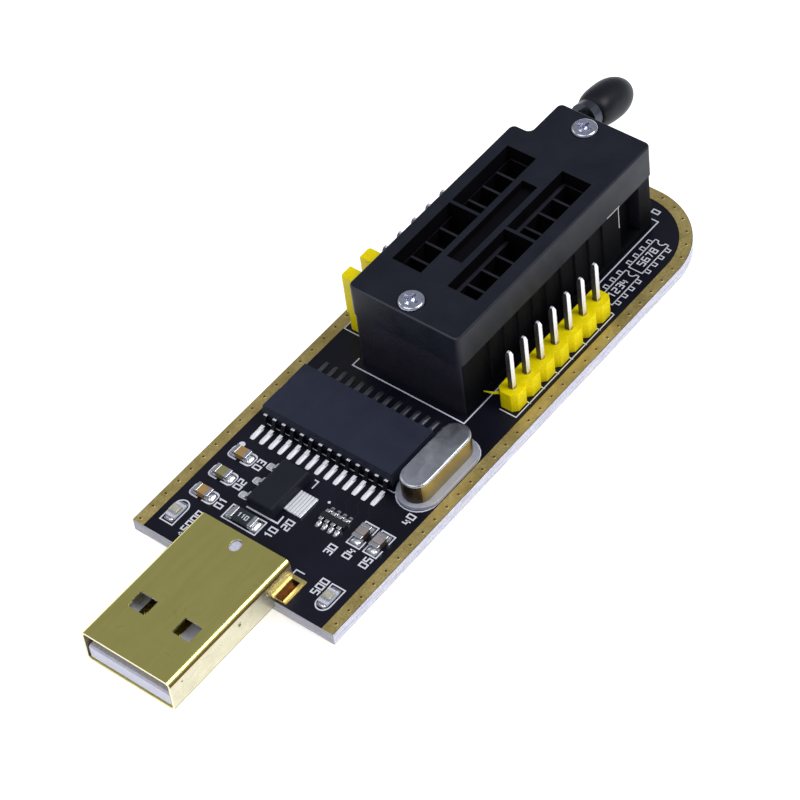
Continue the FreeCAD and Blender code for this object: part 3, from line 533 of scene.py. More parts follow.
INK = 0.02  # thickness of silkscreen ink
SUNK = 0.01  # how far a bead or mark reaches into what it sits on
PLATING = 0.035  # thickness of bare plated copper
BORDER_WIDTH = 1.5
VIA_INSET = 0.65
VIA_PITCH = 2.038
VIA_START = 1.3  # distance of the first via from the plug edge
VIA_RADIUS = 0.25
VIA_BORE = 0.13
LINE = 0.15  # width of a silkscreen line
FINE = 0.12  # width of a thin one
HAIR = 0.1  # width of the finest
BOLD = 0.2  # width of a heavy one
LABEL = 0.85  # height of a numeral
CAPACITORS = ("c1", "c2", "c3", "c4", "c5")
LEDS = ("power_led", "run_led")
HEADER_PINS = 7
CHIP_PITCH = 1.27


def board_line(inset, arc_steps=14):
    """The board's long sides and round end at an inset from the edge, from right to left."""
    radius = END_RADIUS - inset
    start = LENGTH - END_RADIUS
    reach = HALF - END_RADIUS
    points = [(0.0, -HALF + inset)]
    for side, first in ((-1, -90), (1, 0)):
        turns = [first + 90 * i / arc_steps for i in range(arc_steps + 1)]
        points += arc(start, side * reach, radius, radius, turns)
    points.append((0.0, HALF - inset))
    return points


def along(points, pitch, start):
    """Evenly spaced points on a line."""
    places = []
    due = start
    for (x0, y0), (x1, y1) in zip(points, points[1:]):
        length = math.hypot(x1 - x0, y1 - y0)
        while due <= length:
            places.append((x0 + (x1 - x0) * due / length, y0 + (y1 - y0) * due / length))
            due += pitch
        due -= length
    return places


def board_faces(face):
    """Mask on the flat sides, laminate round the edge (with painted shade on the plug end face), plating in
    the holes.
    """
    if abs(face.normal.z) > 0.7:
        return 0
    middle = (face.calc_center_median() - at(0, 0)) / MM
    start = LENGTH - END_RADIUS
    inner = abs(middle.y) < HALF - 0.4 and 0.2 < middle.x < LENGTH - 0.4
    if inner and middle.x > start:
        away = math.hypot(middle.x - start, max(0, abs(middle.y) - (HALF - END_RADIUS)))
        inner = away < END_RADIUS - 0.4
    if inner:
        return 2
    return 3 if face.normal.x < -0.7 else 1


def build_board():
    """The board, the gilded border on both faces, and the raised vias along the border."""
    refine("board", "circuit_board", [MASK, LAMINATE, PAD, LAMINATE_PAINTED_SHADE], bevel=0.03,
           segments=1, sort=board_faces)
    for name, z0, z1 in (("border_top", 0.0, PLATING), ("border_bottom", -THICKNESS - PLATING, -THICKNESS)):
        bm = bmesh.new()
        strip(bm, board_line(BORDER_WIDTH), board_line(0.06), z0, z1)
        finish_piece(name, bm, [BORDER])
    bm = bmesh.new()
    for x, y in along(board_line(VIA_INSET), VIA_PITCH, VIA_START):
        for face, way in ((0.0, 1), (-THICKNESS, -1)):
            edge, top = face + way * PLATING, face + way * (PLATING + 0.03)
            profile = [(VIA_BORE, face), (VIA_RADIUS, face), (VIA_RADIUS, edge), (VIA_RADIUS - 0.04, top),
                       (VIA_BORE + 0.01, top)]
            turned(bm, x, y, profile, 12)
            # brown disc closing the bore just above the face: painted shade standing for the hole
            plug_top = face + way * (PLATING + 0.008)
            prism(bm, circle(x, y, VIA_BORE + 0.005, 10), min(face, plug_top), max(face, plug_top), 1)
    finish_piece("border_vias", bm, [BORDER, VIA_HOLE_PAINTED_SHADE])


# ---- silkscreen

# strokes of each sign in a cell of height 1
DIGITS = {
    "0": [((0, 0), (0.6, 0), (0.6, 1), (0, 1), (0, 0))],
    "1": [((0.1, 0.8), (0.35, 1), (0.35, 0))],
    "2": [((0, 1), (0.6, 1), (0.6, 0.52), (0, 0.45), (0, 0), (0.6, 0))],
    "3": [((0, 1), (0.6, 1), (0.6, 0), (0, 0)), ((0.15, 0.52), (0.52, 0.52))],
    "4": [((0, 1), (0, 0.4), (0.6, 0.4)), ((0.45, 0.8), (0.45, 0))],
    "5": [((0.6, 1), (0, 1), (0, 0.55), (0.6, 0.5), (0.6, 0), (0, 0))],
    "6": [((0.6, 1), (0, 1), (0, 0), (0.6, 0), (0.6, 0.5), (0.08, 0.5))],
    "7": [((0, 1), (0.6, 1), (0.25, 0))],
    "8": [((0, 0), (0.6, 0), (0.6, 1), (0, 1), (0, 0)), ((0.1, 0.52), (0.5, 0.52))],
    "+": [((0.05, 0.5), (0.55, 0.5)), ((0.3, 0.8), (0.3, 0.2))],
}


def ink(bm, points, closed=False, width=LINE, base=0.0):
    stroke(bm, points, width, base, base + INK, closed)


def number(bm, text, x, y, height=LABEL, turned_by=0.0, base=0.0, width=0.17):
    """Numerals in stroke lettering, at an angle about their lower left corner."""
    turn = math.radians(turned_by)
    cos, sin = math.cos(turn), math.sin(turn)
    for place, sign in enumerate(text):
        for line in DIGITS[sign]:
            points = []
            for u, v in line:
                u = (u + 0.92 * place) * height
                v = v * height
                points.append((x + u * cos - v * sin, y + u * sin + v * cos))
            closed = points[0] == points[-1]
            ink(bm, points[:-1] if closed else points, closed, width, base)


def around(node, margin_x, margin_y):
    """Rectangle round a node's plan, as four corners."""
    x0, x1, y0, y1, _, _ = span(node)
    return [(x0 - margin_x, y0 - margin_y), (x1 + margin_x, y0 - margin_y),
            (x1 + margin_x, y1 + margin_y), (x0 - margin_x, y1 + margin_y)]


def led_outline(bm, node, flat, round_end):
    """Outline of a lamp with one flat end and one round end, which is at 1 or -1 along X."""
    x0, x1, y0, y1, _, _ = span(node)
    middle = (y0 + y1) / 2
    half = (y1 - y0) / 2 + 0.22
    back = x0 - flat if round_end > 0 else x1 + flat
    front = x1 - 0.2 if round_end > 0 else x0 + 0.2
    nose = arc(front, middle, round_end * half * 1.1, half, range(90, -91, -20))
    ink(bm, [(back, middle + half)] + nose + [(back, middle - half)], True)


def socket_outline(bm):
    """Outline of the test socket, open along the lever end, and a numeral beyond it."""
    x0, x1, y0, y1, _, _ = span("zif_cover")
    number(bm, "0", x1 + 1.2, y0 + 0.5)
    x0, x1 = x0 - 0.72, x1 + 0.3
    y0, y1 = y0 - 0.2, y1 + 0.32
    ink(bm, [(x1, y0 + 0.9), (x1, y0), (x0, y0), (x0, y1), (x0 + 1.2, y1)])
    ink(bm, [(x1, y1 - 2.0), (x1, y1), (x1 - 2.5, y1)])


def controller_outline(bm):
    """Hairline beside the controller's front leads and round its ends."""
    x0, x1, y0, y1, _, _ = span("controller_body")
    gap = 0.25
    ink(bm, [(x0 + 1.1, y0 - gap), (x0 - 0.2, y0 - gap), (x0 - 0.2, y1 - 0.1)], width=HAIR)
    ink(bm, [(x0 + 1.1, y1 + gap), (x1 - 0.5, y1 + gap)], width=HAIR)


def capacitor_outlines(bm):
    """Facing brackets round each capacitor: rounded on three, square on two."""
    half_width, reach, radius, gap = 0.8, 1.55, 0.4, 0.28
    bend = arc(half_width - radius, reach - radius, radius, radius, range(0, 91, 30))
    half = [(half_width, gap)] + bend
    for name in CAPACITORS[:3]:
        cx, cy = centre(f"capacitor_{name}_body")
        for way in (-1, 1):
            line = [(cx + x, cy + way * y) for x, y in half] + [(cx - x, cy + way * y) for x, y in half[::-1]]
            ink(bm, line, width=BOLD)
    half_width, reach, gap = 0.85, 1.65, 0.5
    for name in CAPACITORS[3:]:
        cx, cy = centre(f"capacitor_{name}_body")
        for side in (-1, 1):
            near, far = cx + side * gap, cx + side * reach
            ink(bm, [(near, cy + half_width), (far, cy + half_width), (far, cy - half_width),
                     (near, cy - half_width)])


def regulator_outline(bm):
    """An angle round the regulator's front corner and a short hook at its back one."""
    x0, x1, y0, y1, _, _ = span("regulator_body")
    low = y0 - 0.68
    ink(bm, [(x0 - 0.17, y1 + 0.05), (x0 - 0.13, low), (x0 + 0.96, low + 0.08)], width=BOLD)
    ink(bm, [(x1 - 0.75, low), (x1 + 0.35, low), (x1 + 0.35, low + 0.5)])


def small_marks(bm):
    """Corner mark behind the plug, and dots beside the resistor array and the third capacitor."""
    _, back, right, _, _, _ = span("usb_shell")
    ink(bm, [(back + 1.3, right - 0.4), (back + 1.3, right + 0.7), (back + 0.7, right + 0.7)])
    for node, dx, dy, radius, steps in (("resistor_array_body", 1.8, 2.1, 0.17, 12),
                                        ("capacitor_c3_body", 1.2, 1.1, 0.38, 16)):
        cx, cy = centre(node)
        prism(bm, circle(cx + dx, cy + dy, radius, steps), 0.0, INK)


def header_outlines(bm):
    """Line along each header's outer side, with a tick between pins and a mark at the far end."""
    for node, side in (("right_header_housing", -1), ("left_header_housing", 1)):
        x0, x1, y0, y1, _, _ = span(node)
        edge = y0 if side < 0 else y1
        front, line = x0 - 0.35, edge + side * 0.26
        ink(bm, [(front, edge - side * 1.95), (front, line), (x1 - 0.26, line)], width=FINE)
        ink(bm, [(x1 - 0.26, edge + side * 0.12), (x1 - 0.28, edge - side * 0.45)])
        for i in range(1, HEADER_PINS):
            x = x0 - 0.46 + i * (x1 - x0) / HEADER_PINS
            ink(bm, [(x, edge + side * 0.4), (x, edge - side * 0.2)], width=0.14)


def chip_symbols(bm):
    """Two symbols of an eight-pin chip beyond the right header."""
    _, x1, y0, y1, _, _ = span("right_header_housing")
    low, high = y0 + 0.75, y1 + 0.05
    middle = (low + high) / 2
    length, notch_radius, leg_half, leg_reach = 5.1, 0.45, 0.22, 0.62
    for start, text in ((x1 + 0.75, "1234"), (x1 + 6.4, "5678")):
        end = start + length
        ink(bm, [(end, low), (start, low), (start, high), (end, high)], width=FINE)
        notch = arc(end, middle, -notch_radius, notch_radius, range(90, -91, -30))
        ink(bm, [(end, high)] + notch + [(end, low)], width=FINE)
        for i in range(4):
            x = start + 0.6 + CHIP_PITCH * i
            for row, way in ((low, -1), (high, 1)):
                tip = row + way * leg_reach
                ink(bm, [(x - leg_half, row), (x - leg_half, tip), (x + leg_half, tip), (x + leg_half, row)],
                    width=FINE)
        number(bm, text, start + 0.95, middle - 0.4, width=0.14)


# node, numerals, and their lower left corner from the node's middle
LABELS = [
    ("capacitor_c1_body", "01", -0.65, -2.75), ("capacitor_c2_body", "02", -0.65, -2.75),
    ("capacitor_c3_body", "03", -0.65, -2.75), ("capacitor_c4_body", "04", -3.3, -0.75),
    ("capacitor_c5_body", "05", -3.3, -0.75), ("fuse_body", "10", -0.4, -3.9),
    ("regulator_body", "20", -3.5, -3.9), ("resistor_array_body", "30", -3.7, -2.4),
    ("crystal_base", "40", -7.2, -1.67), ("run_led_base", "500", -0.4, 1.25),
    ("power_led_base", "+5000", -2.25, -2.75),
]


def labels(bm):
    """Generic numerals beside the parts and on top of the fuse."""
    for node, text, dx, dy in LABELS:
        cx, cy = centre(node)
        number(bm, text, cx + dx, cy + dy)
    cx, cy = centre("fuse_body")
    number(bm, "110", cx - 0.32, cy + 0.62, 0.52, -90.0, span("fuse_body")[5], HAIR)


def build_silk():
    bm = bmesh.new()
    socket_outline(bm)
    controller_outline(bm)
    capacitor_outlines(bm)
    ink(bm, around("fuse_body", 0.22, 1.22), True)
    regulator_outline(bm)
    led_outline(bm, "power_led_base", 0.65, 1)
    led_outline(bm, "run_led_base", 0.65, -1)
    small_marks(bm)
    cx, cy = centre("crystal_base")
    ink(bm, rounded(cx + 0.04, cy, 11.4, 4.9, 2.4, 6), True)
    header_outlines(bm)
    chip_symbols(bm)
    labels(bm)
    finish_piece("silkscreen", bm, [SILK])


# ---- pads, solder and relief on the board

def build_pads():
    """Tinned pads under the small parts, and rings round the tails on the underside."""
    bm = bmesh.new()
    for name in LEDS:
        x0, x1, y0, y1, _, _ = span(f"{name}_base")
        for x in (x0, x1):
            prism(bm, rounded(x, (y0 + y1) / 2, 0.8, 1.15, 0.12, 2), 0.0, PLATING)
    cx, cy = centre("resistor_array_body")
    pad_pitch, pad_offset = 0.8, 1.15
    for side in (-1, 1):
        for i in range(4):
            pad = rounded(cx + side * pad_offset, cy + (i - 1.5) * pad_pitch, 0.75, 0.42, 0.1, 2)
            prism(bm, pad, 0.0, PLATING)
    for node, inner, outer in (("left_header_pins", 0.5, 0.95), ("right_header_pins", 0.5, 0.95),
                               ("zif_contacts_left", 0.53, 0.9), ("zif_contacts_right", 0.53, 0.9),
                               ("crystal_leads", 0.53, 0.9)):
        for cx, cy in middles(node):
            ring_pad(bm, cx, cy, inner, outer)
    finish_piece("pads", bm, [PAD])


def ring_pad(bm, cx, cy, inner, outer):
    """Annular pad on the underside."""
    low = -THICKNESS - PLATING
    turned(bm, cx, cy, [(inner, -THICKNESS), (outer, -THICKNESS), (outer, low), (inner, low)], 20)


def build_slots():
    """Gilded pad and walls of each slot for the plug's legs, and the fold above each leg; walls and folds are
    in a bright gold with painted glint.
    """
    wall, wall_rise, corner = 0.3, 0.16, 0.12
    boxes = sorted(solids("usb_leg_solder"), key=lambda box: box[2])
    for name, (x0, x1, y0, y1, _, _) in zip(("slot_right", "slot_left"), boxes):
        cx, cy = (x0 + x1) / 2, (y0 + y1) / 2
        bm = bmesh.new()
        inner = rounded(cx, cy, x1 - x0 - 0.1, y1 - y0 - 0.1, 0.3)
        outer = rounded(cx + 0.2, cy, x1 - x0 + 0.5, y1 - y0 + 0.6, corner)
        strip(bm, outer, inner, 0.0, PLATING, True)
        finish_piece(f"{name}_pad", bm, [BORDER])
        bm = bmesh.new()
        for edge in (y0, y1):
            plan = rounded(cx + 0.05, edge, x1 - x0 + 0.1, wall, corner, 3)
            prism(bm, plan, PLATING, PLATING + wall_rise)
        finish_piece(f"{name}_walls", bm, [GOLD_PAINTED_GLINT], sharp=60)
    bm = bmesh.new()
    fold_length, fold_width, fold_low, fold_high = 3.0, 0.34, 0.72, 0.96
    _, back, y0, y1, _, _ = span("usb_shell")
    for y in (y0, y1):
        prism(bm, rounded(back - 1.75, y, fold_length, fold_width, corner, 3), fold_low, fold_high)
    finish_piece("leg_folds", bm, [GOLD_PAINTED_GLINT], sharp=60)


def build_solder():
    """Solder on the surface-mount joints, and the ribs of the regulator's tab."""
    bm = bmesh.new()
    controller_solder(bm)
    regulator_solder(bm)
    for name in CAPACITORS:
        cap_solder(bm, f"capacitor_{name}_caps", 0.42)
    cap_solder(bm, "fuse_caps", 0.4)
    cap_solder(bm, "resistor_array_terminals", 0.25)
    for name in LEDS:
        x0, x1, y0, y1, _, _ = span(f"{name}_base")
        for x in (x0, x1):
            dome(bm, x, (y0 + y1) / 2, 0.75, 1.0, 0.0, 0.22, power=3.5)
    # index 1 is tin with painted highlight, index 2 tin with painted shade
    finish_piece("solder_joints", bm, [SOLDER, TIN_PAINTED_HIGHLIGHT, TIN_PAINTED_SHADE], sharp=60)


def controller_solder(bm):
    """Bead over each controller foot, with painted highlight in front and painted shade behind."""
    middle = centre("controller_body")[0]
    length, width, height = 2.0, 0.64, 0.24
    for x0, x1, y0, y1, _, _ in solids("controller_leads"):
        front = (x0 + x1) / 2 < middle
        toe, way, index = (x0, -1, 1) if front else (x1, 1, 2)
        bump = random.uniform(0.9, 1.1)
        dome(bm, toe + way * 0.45, (y0 + y1) / 2, length, width, -SUNK, height * bump, (-way * 0.15, 0), 4.5,
             index=index)


def regulator_solder(bm):
    """Bead on each narrow lead, and ribs across the wide tab, both in tin with painted highlight."""
    ribs, rib_width = 6, 0.2
    for x0, x1, y0, y1, _, z1 in solids("regulator_leads"):
        cx = (x0 + x1) / 2
        if x1 - x0 < 2:
            dome(bm, cx, y1 - 0.35, (x1 - x0) + 0.2, 1.3, -SUNK, 0.2, (0, -0.2), 4.0, index=1)
            continue
        for i in range(ribs):
            y = y0 + (i + 0.5) * (y1 - y0) / ribs
            prism(bm, rounded(cx, y, x1 - x0 - 0.1, rib_width, 0.09, 3), z1 - SUNK, z1 + 0.07, 1)


def cap_solder(bm, node, height):
    """Fillets outside the end caps of a chip part."""
    boxes = solids(node)
    middle_x = sum(b[0] + b[1] for b in boxes) / 2 / len(boxes)
    middle_y = sum(b[2] + b[3] for b in boxes) / 2 / len(boxes)
    along_x = max(abs((b[0] + b[1]) / 2 - middle_x) for b in boxes) > 0.3
    shift, crest, longer, wider = 0.3, 0.2, 0.55, 0.1
    for x0, x1, y0, y1, _, _ in boxes:
        cx, cy = (x0 + x1) / 2, (y0 + y1) / 2
        if along_x:
            grow_x, grow_y = longer, wider
            way_x, way_y = math.copysign(1, cx - middle_x), 0
        else:
            grow_x, grow_y = wider, longer
            way_x, way_y = 0, math.copysign(1, cy - middle_y)
        dome(bm, cx + way_x * shift, cy + way_y * shift, x1 - x0 + grow_x, y1 - y0 + grow_y, -SUNK, height,
             (-way_x * crest, -way_y * crest), 4.0)


def build_underside():
    """Solder cones round the tails, and the relief of the tracks under the mask."""
    for name, node, tails in (("left_header_joints", "left_header_solder", ["left_header_pins"]),
                              ("right_header_joints", "right_header_solder", ["right_header_pins"]),
                              ("crystal_joints", "crystal_solder", ["crystal_leads"]),
                              ("socket_joints", "zif_solder", ["zif_contacts_left", "zif_contacts_right"])):
        joint_cones(name, node, [box for tail in tails for box in solids(tail)])
    bm = bmesh.new()
    z0, z1 = -THICKNESS - 0.018, -THICKNESS
    run = 1.2
    for side_name, side in (("left", 1), ("right", -1)):
        contacts = middles(f"zif_contacts_{side_name}")
        for (px, py), (cx, cy) in zip(middles(f"{side_name}_header_pins"), contacts):
            bend = cy + side * (abs(px - cx) + run)
            stroke(bm, [(px, py), (px, bend), (cx, cy + side * run), (cx, cy)], 0.3, z0, z1)
    x = solids("zif_contacts_left")[0][0]
    for i in range(6):
        y = -4.6 + 1.9 * i
        line = [(x - 1.5, y * 0.35), (x - 5.0 - 0.5 * i, y), (9.0 + 0.6 * i, y), (6.5, y * 0.8)]
        stroke(bm, line, 0.25, z0, z1)
    finish_piece("tracks_bottom", bm, [TRACE])


def joint_cones(name, node, tails):
    """A waisted cone of solder round each tail."""
    bm = bmesh.new()
    base = -THICKNESS - PLATING
    for x0, x1, y0, y1, _, _ in tails:
        half = min(0.32, max(x1 - x0, y1 - y0) / 2)
        profile = [(0.0, base), (0.86, base), (0.8, base - 0.12), (0.6, base - 0.3), (0.46, base - 0.55),
                   (half * 0.95, base - 0.85), (0.0, base - 0.9)]
        turned(bm, (x0 + x1) / 2, (y0 + y1) / 2, profile, 20)
    finish_piece(name, bm, [SOLDER], nodes=(node,), sharp=60)


def build_tracks():
    """Relief of the tracks under the mask on the component side."""
    bm = bmesh.new()
    width, z0, z1 = 0.22, 0.0, 0.014
    chip = span("controller_body")
    for i, (x0, _, y0, y1, _, _) in enumerate(solids("controller_leads")):
        cy = (y0 + y1) / 2
        if x0 > chip[0] or not -6.5 < cy < 0.5:
            continue
        reach = 0.5 + 0.35 * (i % 4)
        bend = x0 - 1.4 - reach
        line = [(x0 - 1.2, cy), (bend, cy), (bend - 0.8, cy - 0.8), (bend - 2.8, cy - 0.8)]
        stroke(bm, line, width, z0, z1)
    socket_x = span("zif_base")[0]
    for i in range(5):
        y = -5.4 + 2.5 * i
        stroke(bm, [(chip[1] + 2.4, y), (socket_x - 1.6, y), (socket_x + 0.5, y + 0.9)], width, z0, z1)
    finish_piece("tracks_top", bm, [TRACE])


# ---- parts

def shell_faces(face):
    """Bright top and bottom, painted dark reflection on the folds, painted pale sheen on the sides, and a
    matt painted highlight on the cut edges at mouth and windows.
    """
    if face.normal.x < -0.9:
        return 2
    rise = abs(face.normal.z)
    return 1 if rise < 0.15 else 3 if rise < 0.5 else 0


# X, Z and radius of the dimples pressed into each side of the plug
DIMPLES = ((-5.14, 1.58, 0.36), (-13.94, 1.99, 0.16), (-0.83, 1.66, 0.2))


def dimple(bm, x, y, z, radius, way, steps=16):
    """Raised ring with a floor in painted shade, on the plug's side at y, which faces way along Y."""
    rings = []
    for share, out in ((1.0, -0.02), (0.85, 0.035), (0.55, 0.01)):
        outline = circle(x, z, radius * share, steps)
        rings.append([bm.verts.new(at(px, y + way * out, pz)) for px, pz in outline])
    bm.faces.new(rings[0])
    bm.faces.new(rings[2]).material_index = 1
    for low, high in zip(rings, rings[1:]):
        for i in range(steps):
            j = (i + 1) % steps
            bm.faces.new((low[i], low[j], high[j], high[i]))


def build_plug():
    refine("plug_shell", "usb_shell", [GOLD, GOLD_SIDE_PAINTED_SHEEN, GOLD_LIP_PAINTED_HIGHLIGHT, GOLD_PAINTED_SHADE], bevel=0.07,
           segments=2, sort=shell_faces)
    bm = bmesh.new()
    _, _, right, left, _, _ = span("usb_shell")
    for y, way in ((right, -1), (left, 1)):
        for x, z, radius in DIMPLES:
            dimple(bm, x, y, z, radius, way)
    finish_piece("plug_dimples", bm, [GOLD_SIDE_PAINTED_SHEEN, GOLD_PAINTED_SHADE])
    refine("plug_insulator", "usb_insulator", INSULATOR, bevel=0.08)
    refine("plug_contacts", "usb_contacts", GOLD, bevel=0.03)
    # the solder on the plug's legs is coloured dark brown
    refine("leg_solder", "usb_leg_solder", BROWN_SOLDER, bevel=0.1)


def faces_front(face):
    return 1 if face.normal.x < -0.5 else 0


def socket_side_glints():
    """Painted highlights: pale glints along the cover's lower edge and down the base, on the socket's right
    side.
    """
    _, x1, y0, _, z0, _ = span("zif_cover")
    base_y = span("zif_base")[2]
    end, length, width = x1 - 6.3, 2.3, 0.12
    bm = bmesh.new()
    marks = ((end - length, y0, z0 + 0.05, z0 + 0.17), (end - width, base_y, z0 - 3.3, z0))
    for front, y, low, high in marks:
        prism(bm, [(front, y - 0.03), (end, y - 0.03), (end, y + 0.02), (front, y + 0.02)], low, high)
    finish_piece("socket_side_glints", bm, [SIDE_PAINTED_GLINT])


def build_socket():
    # Socket base: darker copy of the black on its sides (painted shade), lighter copy on its front faces
    # (painted light)
    refine("socket_base", "zif_base", [BASE_SIDE_PAINTED_SHADE, BASE_FRONT_PAINTED_LIGHT], bevel=0.08, sort=faces_front)
    x0, x1, y0, y1, _, z1 = span("zif_cover")

    def cover_faces(face):
        """Painted highlight on the front edge, painted shade on the walls inside the windows, and plain
        moulding elsewhere.
        """
        if face.normal.x < -0.35 and face.normal.z > 0.35:
            return 1
        middle = (face.calc_center_median() - at(0, 0)) / MM
        inside = x0 + 3 < middle.x < x1 - 3 and y0 + 1.5 < middle.y < y1 - 1.5
        return 2 if inside and middle.z < z1 - 0.02 else 0

    refine("socket_cover", "zif_cover", [SOCKET, COVER_EDGE_PAINTED_HIGHLIGHT, PIT], bevel=0.05,
           sort=cover_faces)
    # Comb: lighter copy of the black on its top faces (painted light on the bar tops), painted shade on its
    # other faces
    refine("socket_comb", "zif_slider", [COMB_TOP_PAINTED_LIGHT, PIT], "comb", bevel=0.1,
           sort=lambda face: 0 if face.normal.z > 0.5 else 1)
    socket_side_glints()
    for side in ("left", "right"):
        refine(f"socket_contacts_{side}", f"zif_contacts_{side}", TIN, bevel=0.04)
    refine("socket_screws", "zif_screws", ZINC, bevel=0.12, segments=3)
    refine("lever_arm", "zif_lever_arm", STEEL, "lever", bevel=0.1)
    refine("lever_knob", "zif_lever_knob", KNOB, "lever", bevel=0.0)


def header_burr():
    """Ragged flake of moulding at the front corner of the right header."""
    x0, _, _, y1, _, _ = span("right_header_housing")
    bm = bmesh.new()
    outline = [(x0 + 0.3, y1 - 0.1), (x0 - 0.1, y1 + 0.15), (x0 - 0.58, y1 + 1.2), (x0 - 0.3, y1 + 0.2),
               (x0 + 0.05, y1 - 0.4)]
    prism(bm, outline, 1.88, 2.06)
    finish_piece("header_burr", bm, [YELLOW])


def build_headers():
    for side in ("left", "right"):
        refine(f"{side}_header_strip", f"{side}_header_housing", YELLOW, bevel=0.26,
               segments=4)
        # front faces of the pins in painted shade
        refine(f"{side}_header_posts", f"{side}_header_pins", [PIN, TIN_PAINTED_SHADE], bevel=0.05,
               sort=faces_front)
        top = span(f"{side}_header_housing")[5]
        bm = bmesh.new()
        # darker orange disc round each pin's foot on the housing: painted shade
        for cx, cy in middles(f"{side}_header_pins"):
            prism(bm, circle(cx, cy, 0.5), top - 0.02, top + 0.015)
        finish_piece(f"{side}_header_pin_shade_rings", bm, [PIN_BASE_PAINTED_SHADE])
    header_burr()
    refine("jumper_body", "jumper_housing", YELLOW, "jumper_cap", bevel=0.16, segments=3)
    refine("jumper_spring", "jumper_clip", TIN, "jumper_cap", bevel=0.04)


def build_controller():
    refine("controller_epoxy", "controller_body", EPOXY, bevel=0.07)
    middle = at(centre("controller_body")[0], 0).x

    def lead_faces(face):
        """Painted shade on the leads at the back; at the front, painted highlight on top and painted shade
        down the slopes.
        """
        if face.calc_center_median().x > middle:
            return 2
        return 0 if face.normal.z > 0.5 else 1

    refine("controller_pins", "controller_leads", [TIN_PAINTED_HIGHLIGHT, LEAD_SLOPE_PAINTED_SHADE, TIN_PAINTED_SHADE], bevel=0.06,
           sort=lead_faces)


def can_faces(face):
    """Satin top, painted golden reflection on the sides and painted shade on the front end."""
    if abs(face.normal.z) > 0.3:
        return 0
    return 2 if face.normal.x < -0.6 else 1


def build_crystal():
    refine("crystal_flange", "crystal_base", FLANGE, bevel=0.12, segments=3)
    refine("crystal_cover", "crystal_can", [CRYSTAL, CAN_SIDE_PAINTED_REFLECTION, CAN_END_PAINTED_SHADE],
           bevel=0.05, sort=can_faces)
    refine("crystal_wires", "crystal_leads", TIN, bevel=0.04)


def build_small_parts():
    """Capacitors, fuse, resistor array and lamps."""
    # c4 and c5: lighter top and darker sides, a lit and a shaded copy of one ceramic: painted light and
    # painted shade
    painted_light_and_shade = [CERAMIC_SIDE_PAINTED_SHADE, CERAMIC_TOP_PAINTED_LIGHT]
    bodies = ([CERAMIC], [CERAMIC_OLIVE], [CERAMIC], painted_light_and_shade, painted_light_and_shade)
    for name, body in zip(CAPACITORS, bodies):
        refine(f"ceramic_{name}", f"capacitor_{name}_body", body, bevel=0.05,
               sort=lambda face: 1 if face.normal.z > 0.7 and len(body) > 1 else 0)
        refine(f"ceramic_{name}_ends", f"capacitor_{name}_caps", TIN, bevel=0.08)
    refine("fuse_element", "fuse_body", FUSE, bevel=0.05)
    refine("fuse_ends", "fuse_caps", TIN, bevel=0.08)
    refine("array_body", "resistor_array_body", ARRAY, bevel=0.05)
    refine("array_ends", "resistor_array_terminals", TIN, bevel=0.06)
    for name in LEDS:
        refine(f"{name}_carrier", f"{name}_base", INSULATOR, bevel=0.04)
        refine(f"{name}_window", f"{name}_lens", LENS, bevel=0.06)


def build_chips():
    build_controller()
    refine("regulator_epoxy", "regulator_body", DARK_EPOXY, bevel=0.08)
    refine("regulator_pins", "regulator_leads", TAB, bevel=0.06)
    build_crystal()
    build_small_parts()


# ---- stage

CAMERA_AZIMUTH = 44.38  # degrees from +X, the way the camera looks
CAMERA_DROP = 48.0  # degrees below level
CAMERA_ROLL = -8.23  # degrees about the line of sight
CAMERA_DISTANCE = 0.3315  # metres
CAMERA_LENS = 139.2  # millimetres
AIM = (28.65, 0.35, 0.0)  # board coordinates of the point in the middle of the view
FLOOR_RADIUS = 3.0  # metres


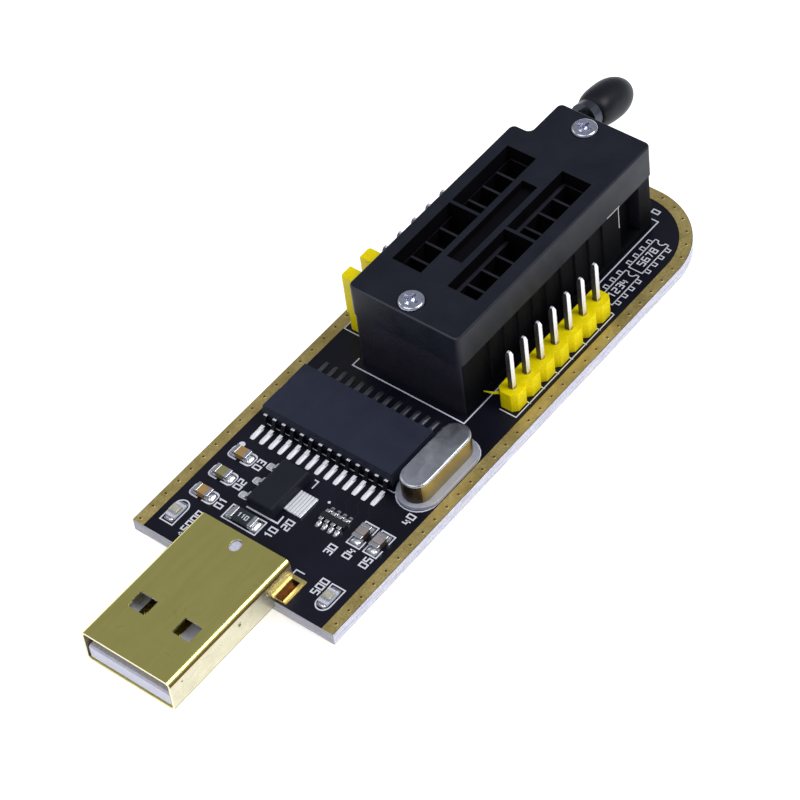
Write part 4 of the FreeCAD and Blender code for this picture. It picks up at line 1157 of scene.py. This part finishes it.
def build_camera():
    azimuth = math.radians(CAMERA_AZIMUTH)
    drop = math.radians(CAMERA_DROP)
    look = Vector((math.cos(azimuth) * math.cos(drop), math.sin(azimuth) * math.cos(drop), -math.sin(drop)))
    data = bpy.data.cameras.new("camera")
    data.lens = CAMERA_LENS
    data.sensor_width = 36.0
    data.clip_start = 0.01
    camera = bpy.data.objects.new("camera", data)
    camera.location = at(*AIM) - look * CAMERA_DISTANCE
    facing = look.to_track_quat("-Z", "Y").to_matrix()
    camera.rotation_euler = (facing @ Matrix.Rotation(math.radians(CAMERA_ROLL), 3, "Z")).to_euler()
    bpy.context.scene.collection.objects.link(camera)
    bpy.context.scene.camera = camera


def area_light(name, azimuth, elevation, distance, size, power, color=(1.0, 1.0, 1.0)):
    """Soft square light that shines at the object from a direction in degrees."""
    a, e = math.radians(azimuth), math.radians(elevation)
    way = Vector((math.cos(a) * math.cos(e), math.sin(a) * math.cos(e), math.sin(e)))
    data = bpy.data.lights.new(name, "AREA")
    data.shape = "SQUARE"
    data.size = size
    data.energy = power
    data.color = color
    light = bpy.data.objects.new(name, data)
    light.location = at(*AIM) + way * distance
    light.rotation_euler = (-way).to_track_quat("-Z", "Y").to_euler()
    bpy.context.scene.collection.objects.link(light)


def build_stage():
    """Pale glowing floor, even studio surroundings and three soft lights."""
    shader = Shader("floor", roughness=0.8, Emission_Color=(1.0, 1.0, 1.0, 1.0), Emission_Strength=0.75)
    grain = shader.noise(40, 2)
    shader.color(shader.ramp(grain, (0.3, (0.80,) * 3), (0.7, (0.83,) * 3)))
    bm = bmesh.new()
    bmesh.ops.create_circle(bm, cap_ends=True, segments=64, radius=FLOOR_RADIUS)
    mesh = bpy.data.meshes.new("floor")
    bm.to_mesh(mesh)
    bm.free()
    mesh.materials.append(shader.material)
    floor = bpy.data.objects.new("floor", mesh)
    bpy.context.scene.collection.objects.link(floor)

    world = bpy.data.worlds.new("studio")
    world.use_nodes = True
    background = world.node_tree.nodes["Background"].inputs
    background["Color"].default_value = (0.32, 0.33, 0.36, 1.0)
    background["Strength"].default_value = 1.0
    bpy.context.scene.world = world
    bpy.context.scene.view_settings.view_transform = "Standard"

    area_light("key", -60, 52, 0.9, 0.45, 4.5)
    area_light("fill", 170, 62, 1.0, 0.7, 2.4, (0.95, 0.97, 1.0))
    area_light("rim", 100, 35, 1.0, 0.3, 0.6)


# ---- build

build_camera()
build_board()
build_silk()
build_pads()
build_slots()
build_solder()
build_underside()
build_tracks()
build_plug()
build_socket()
build_headers()
build_chips()
build_stage()
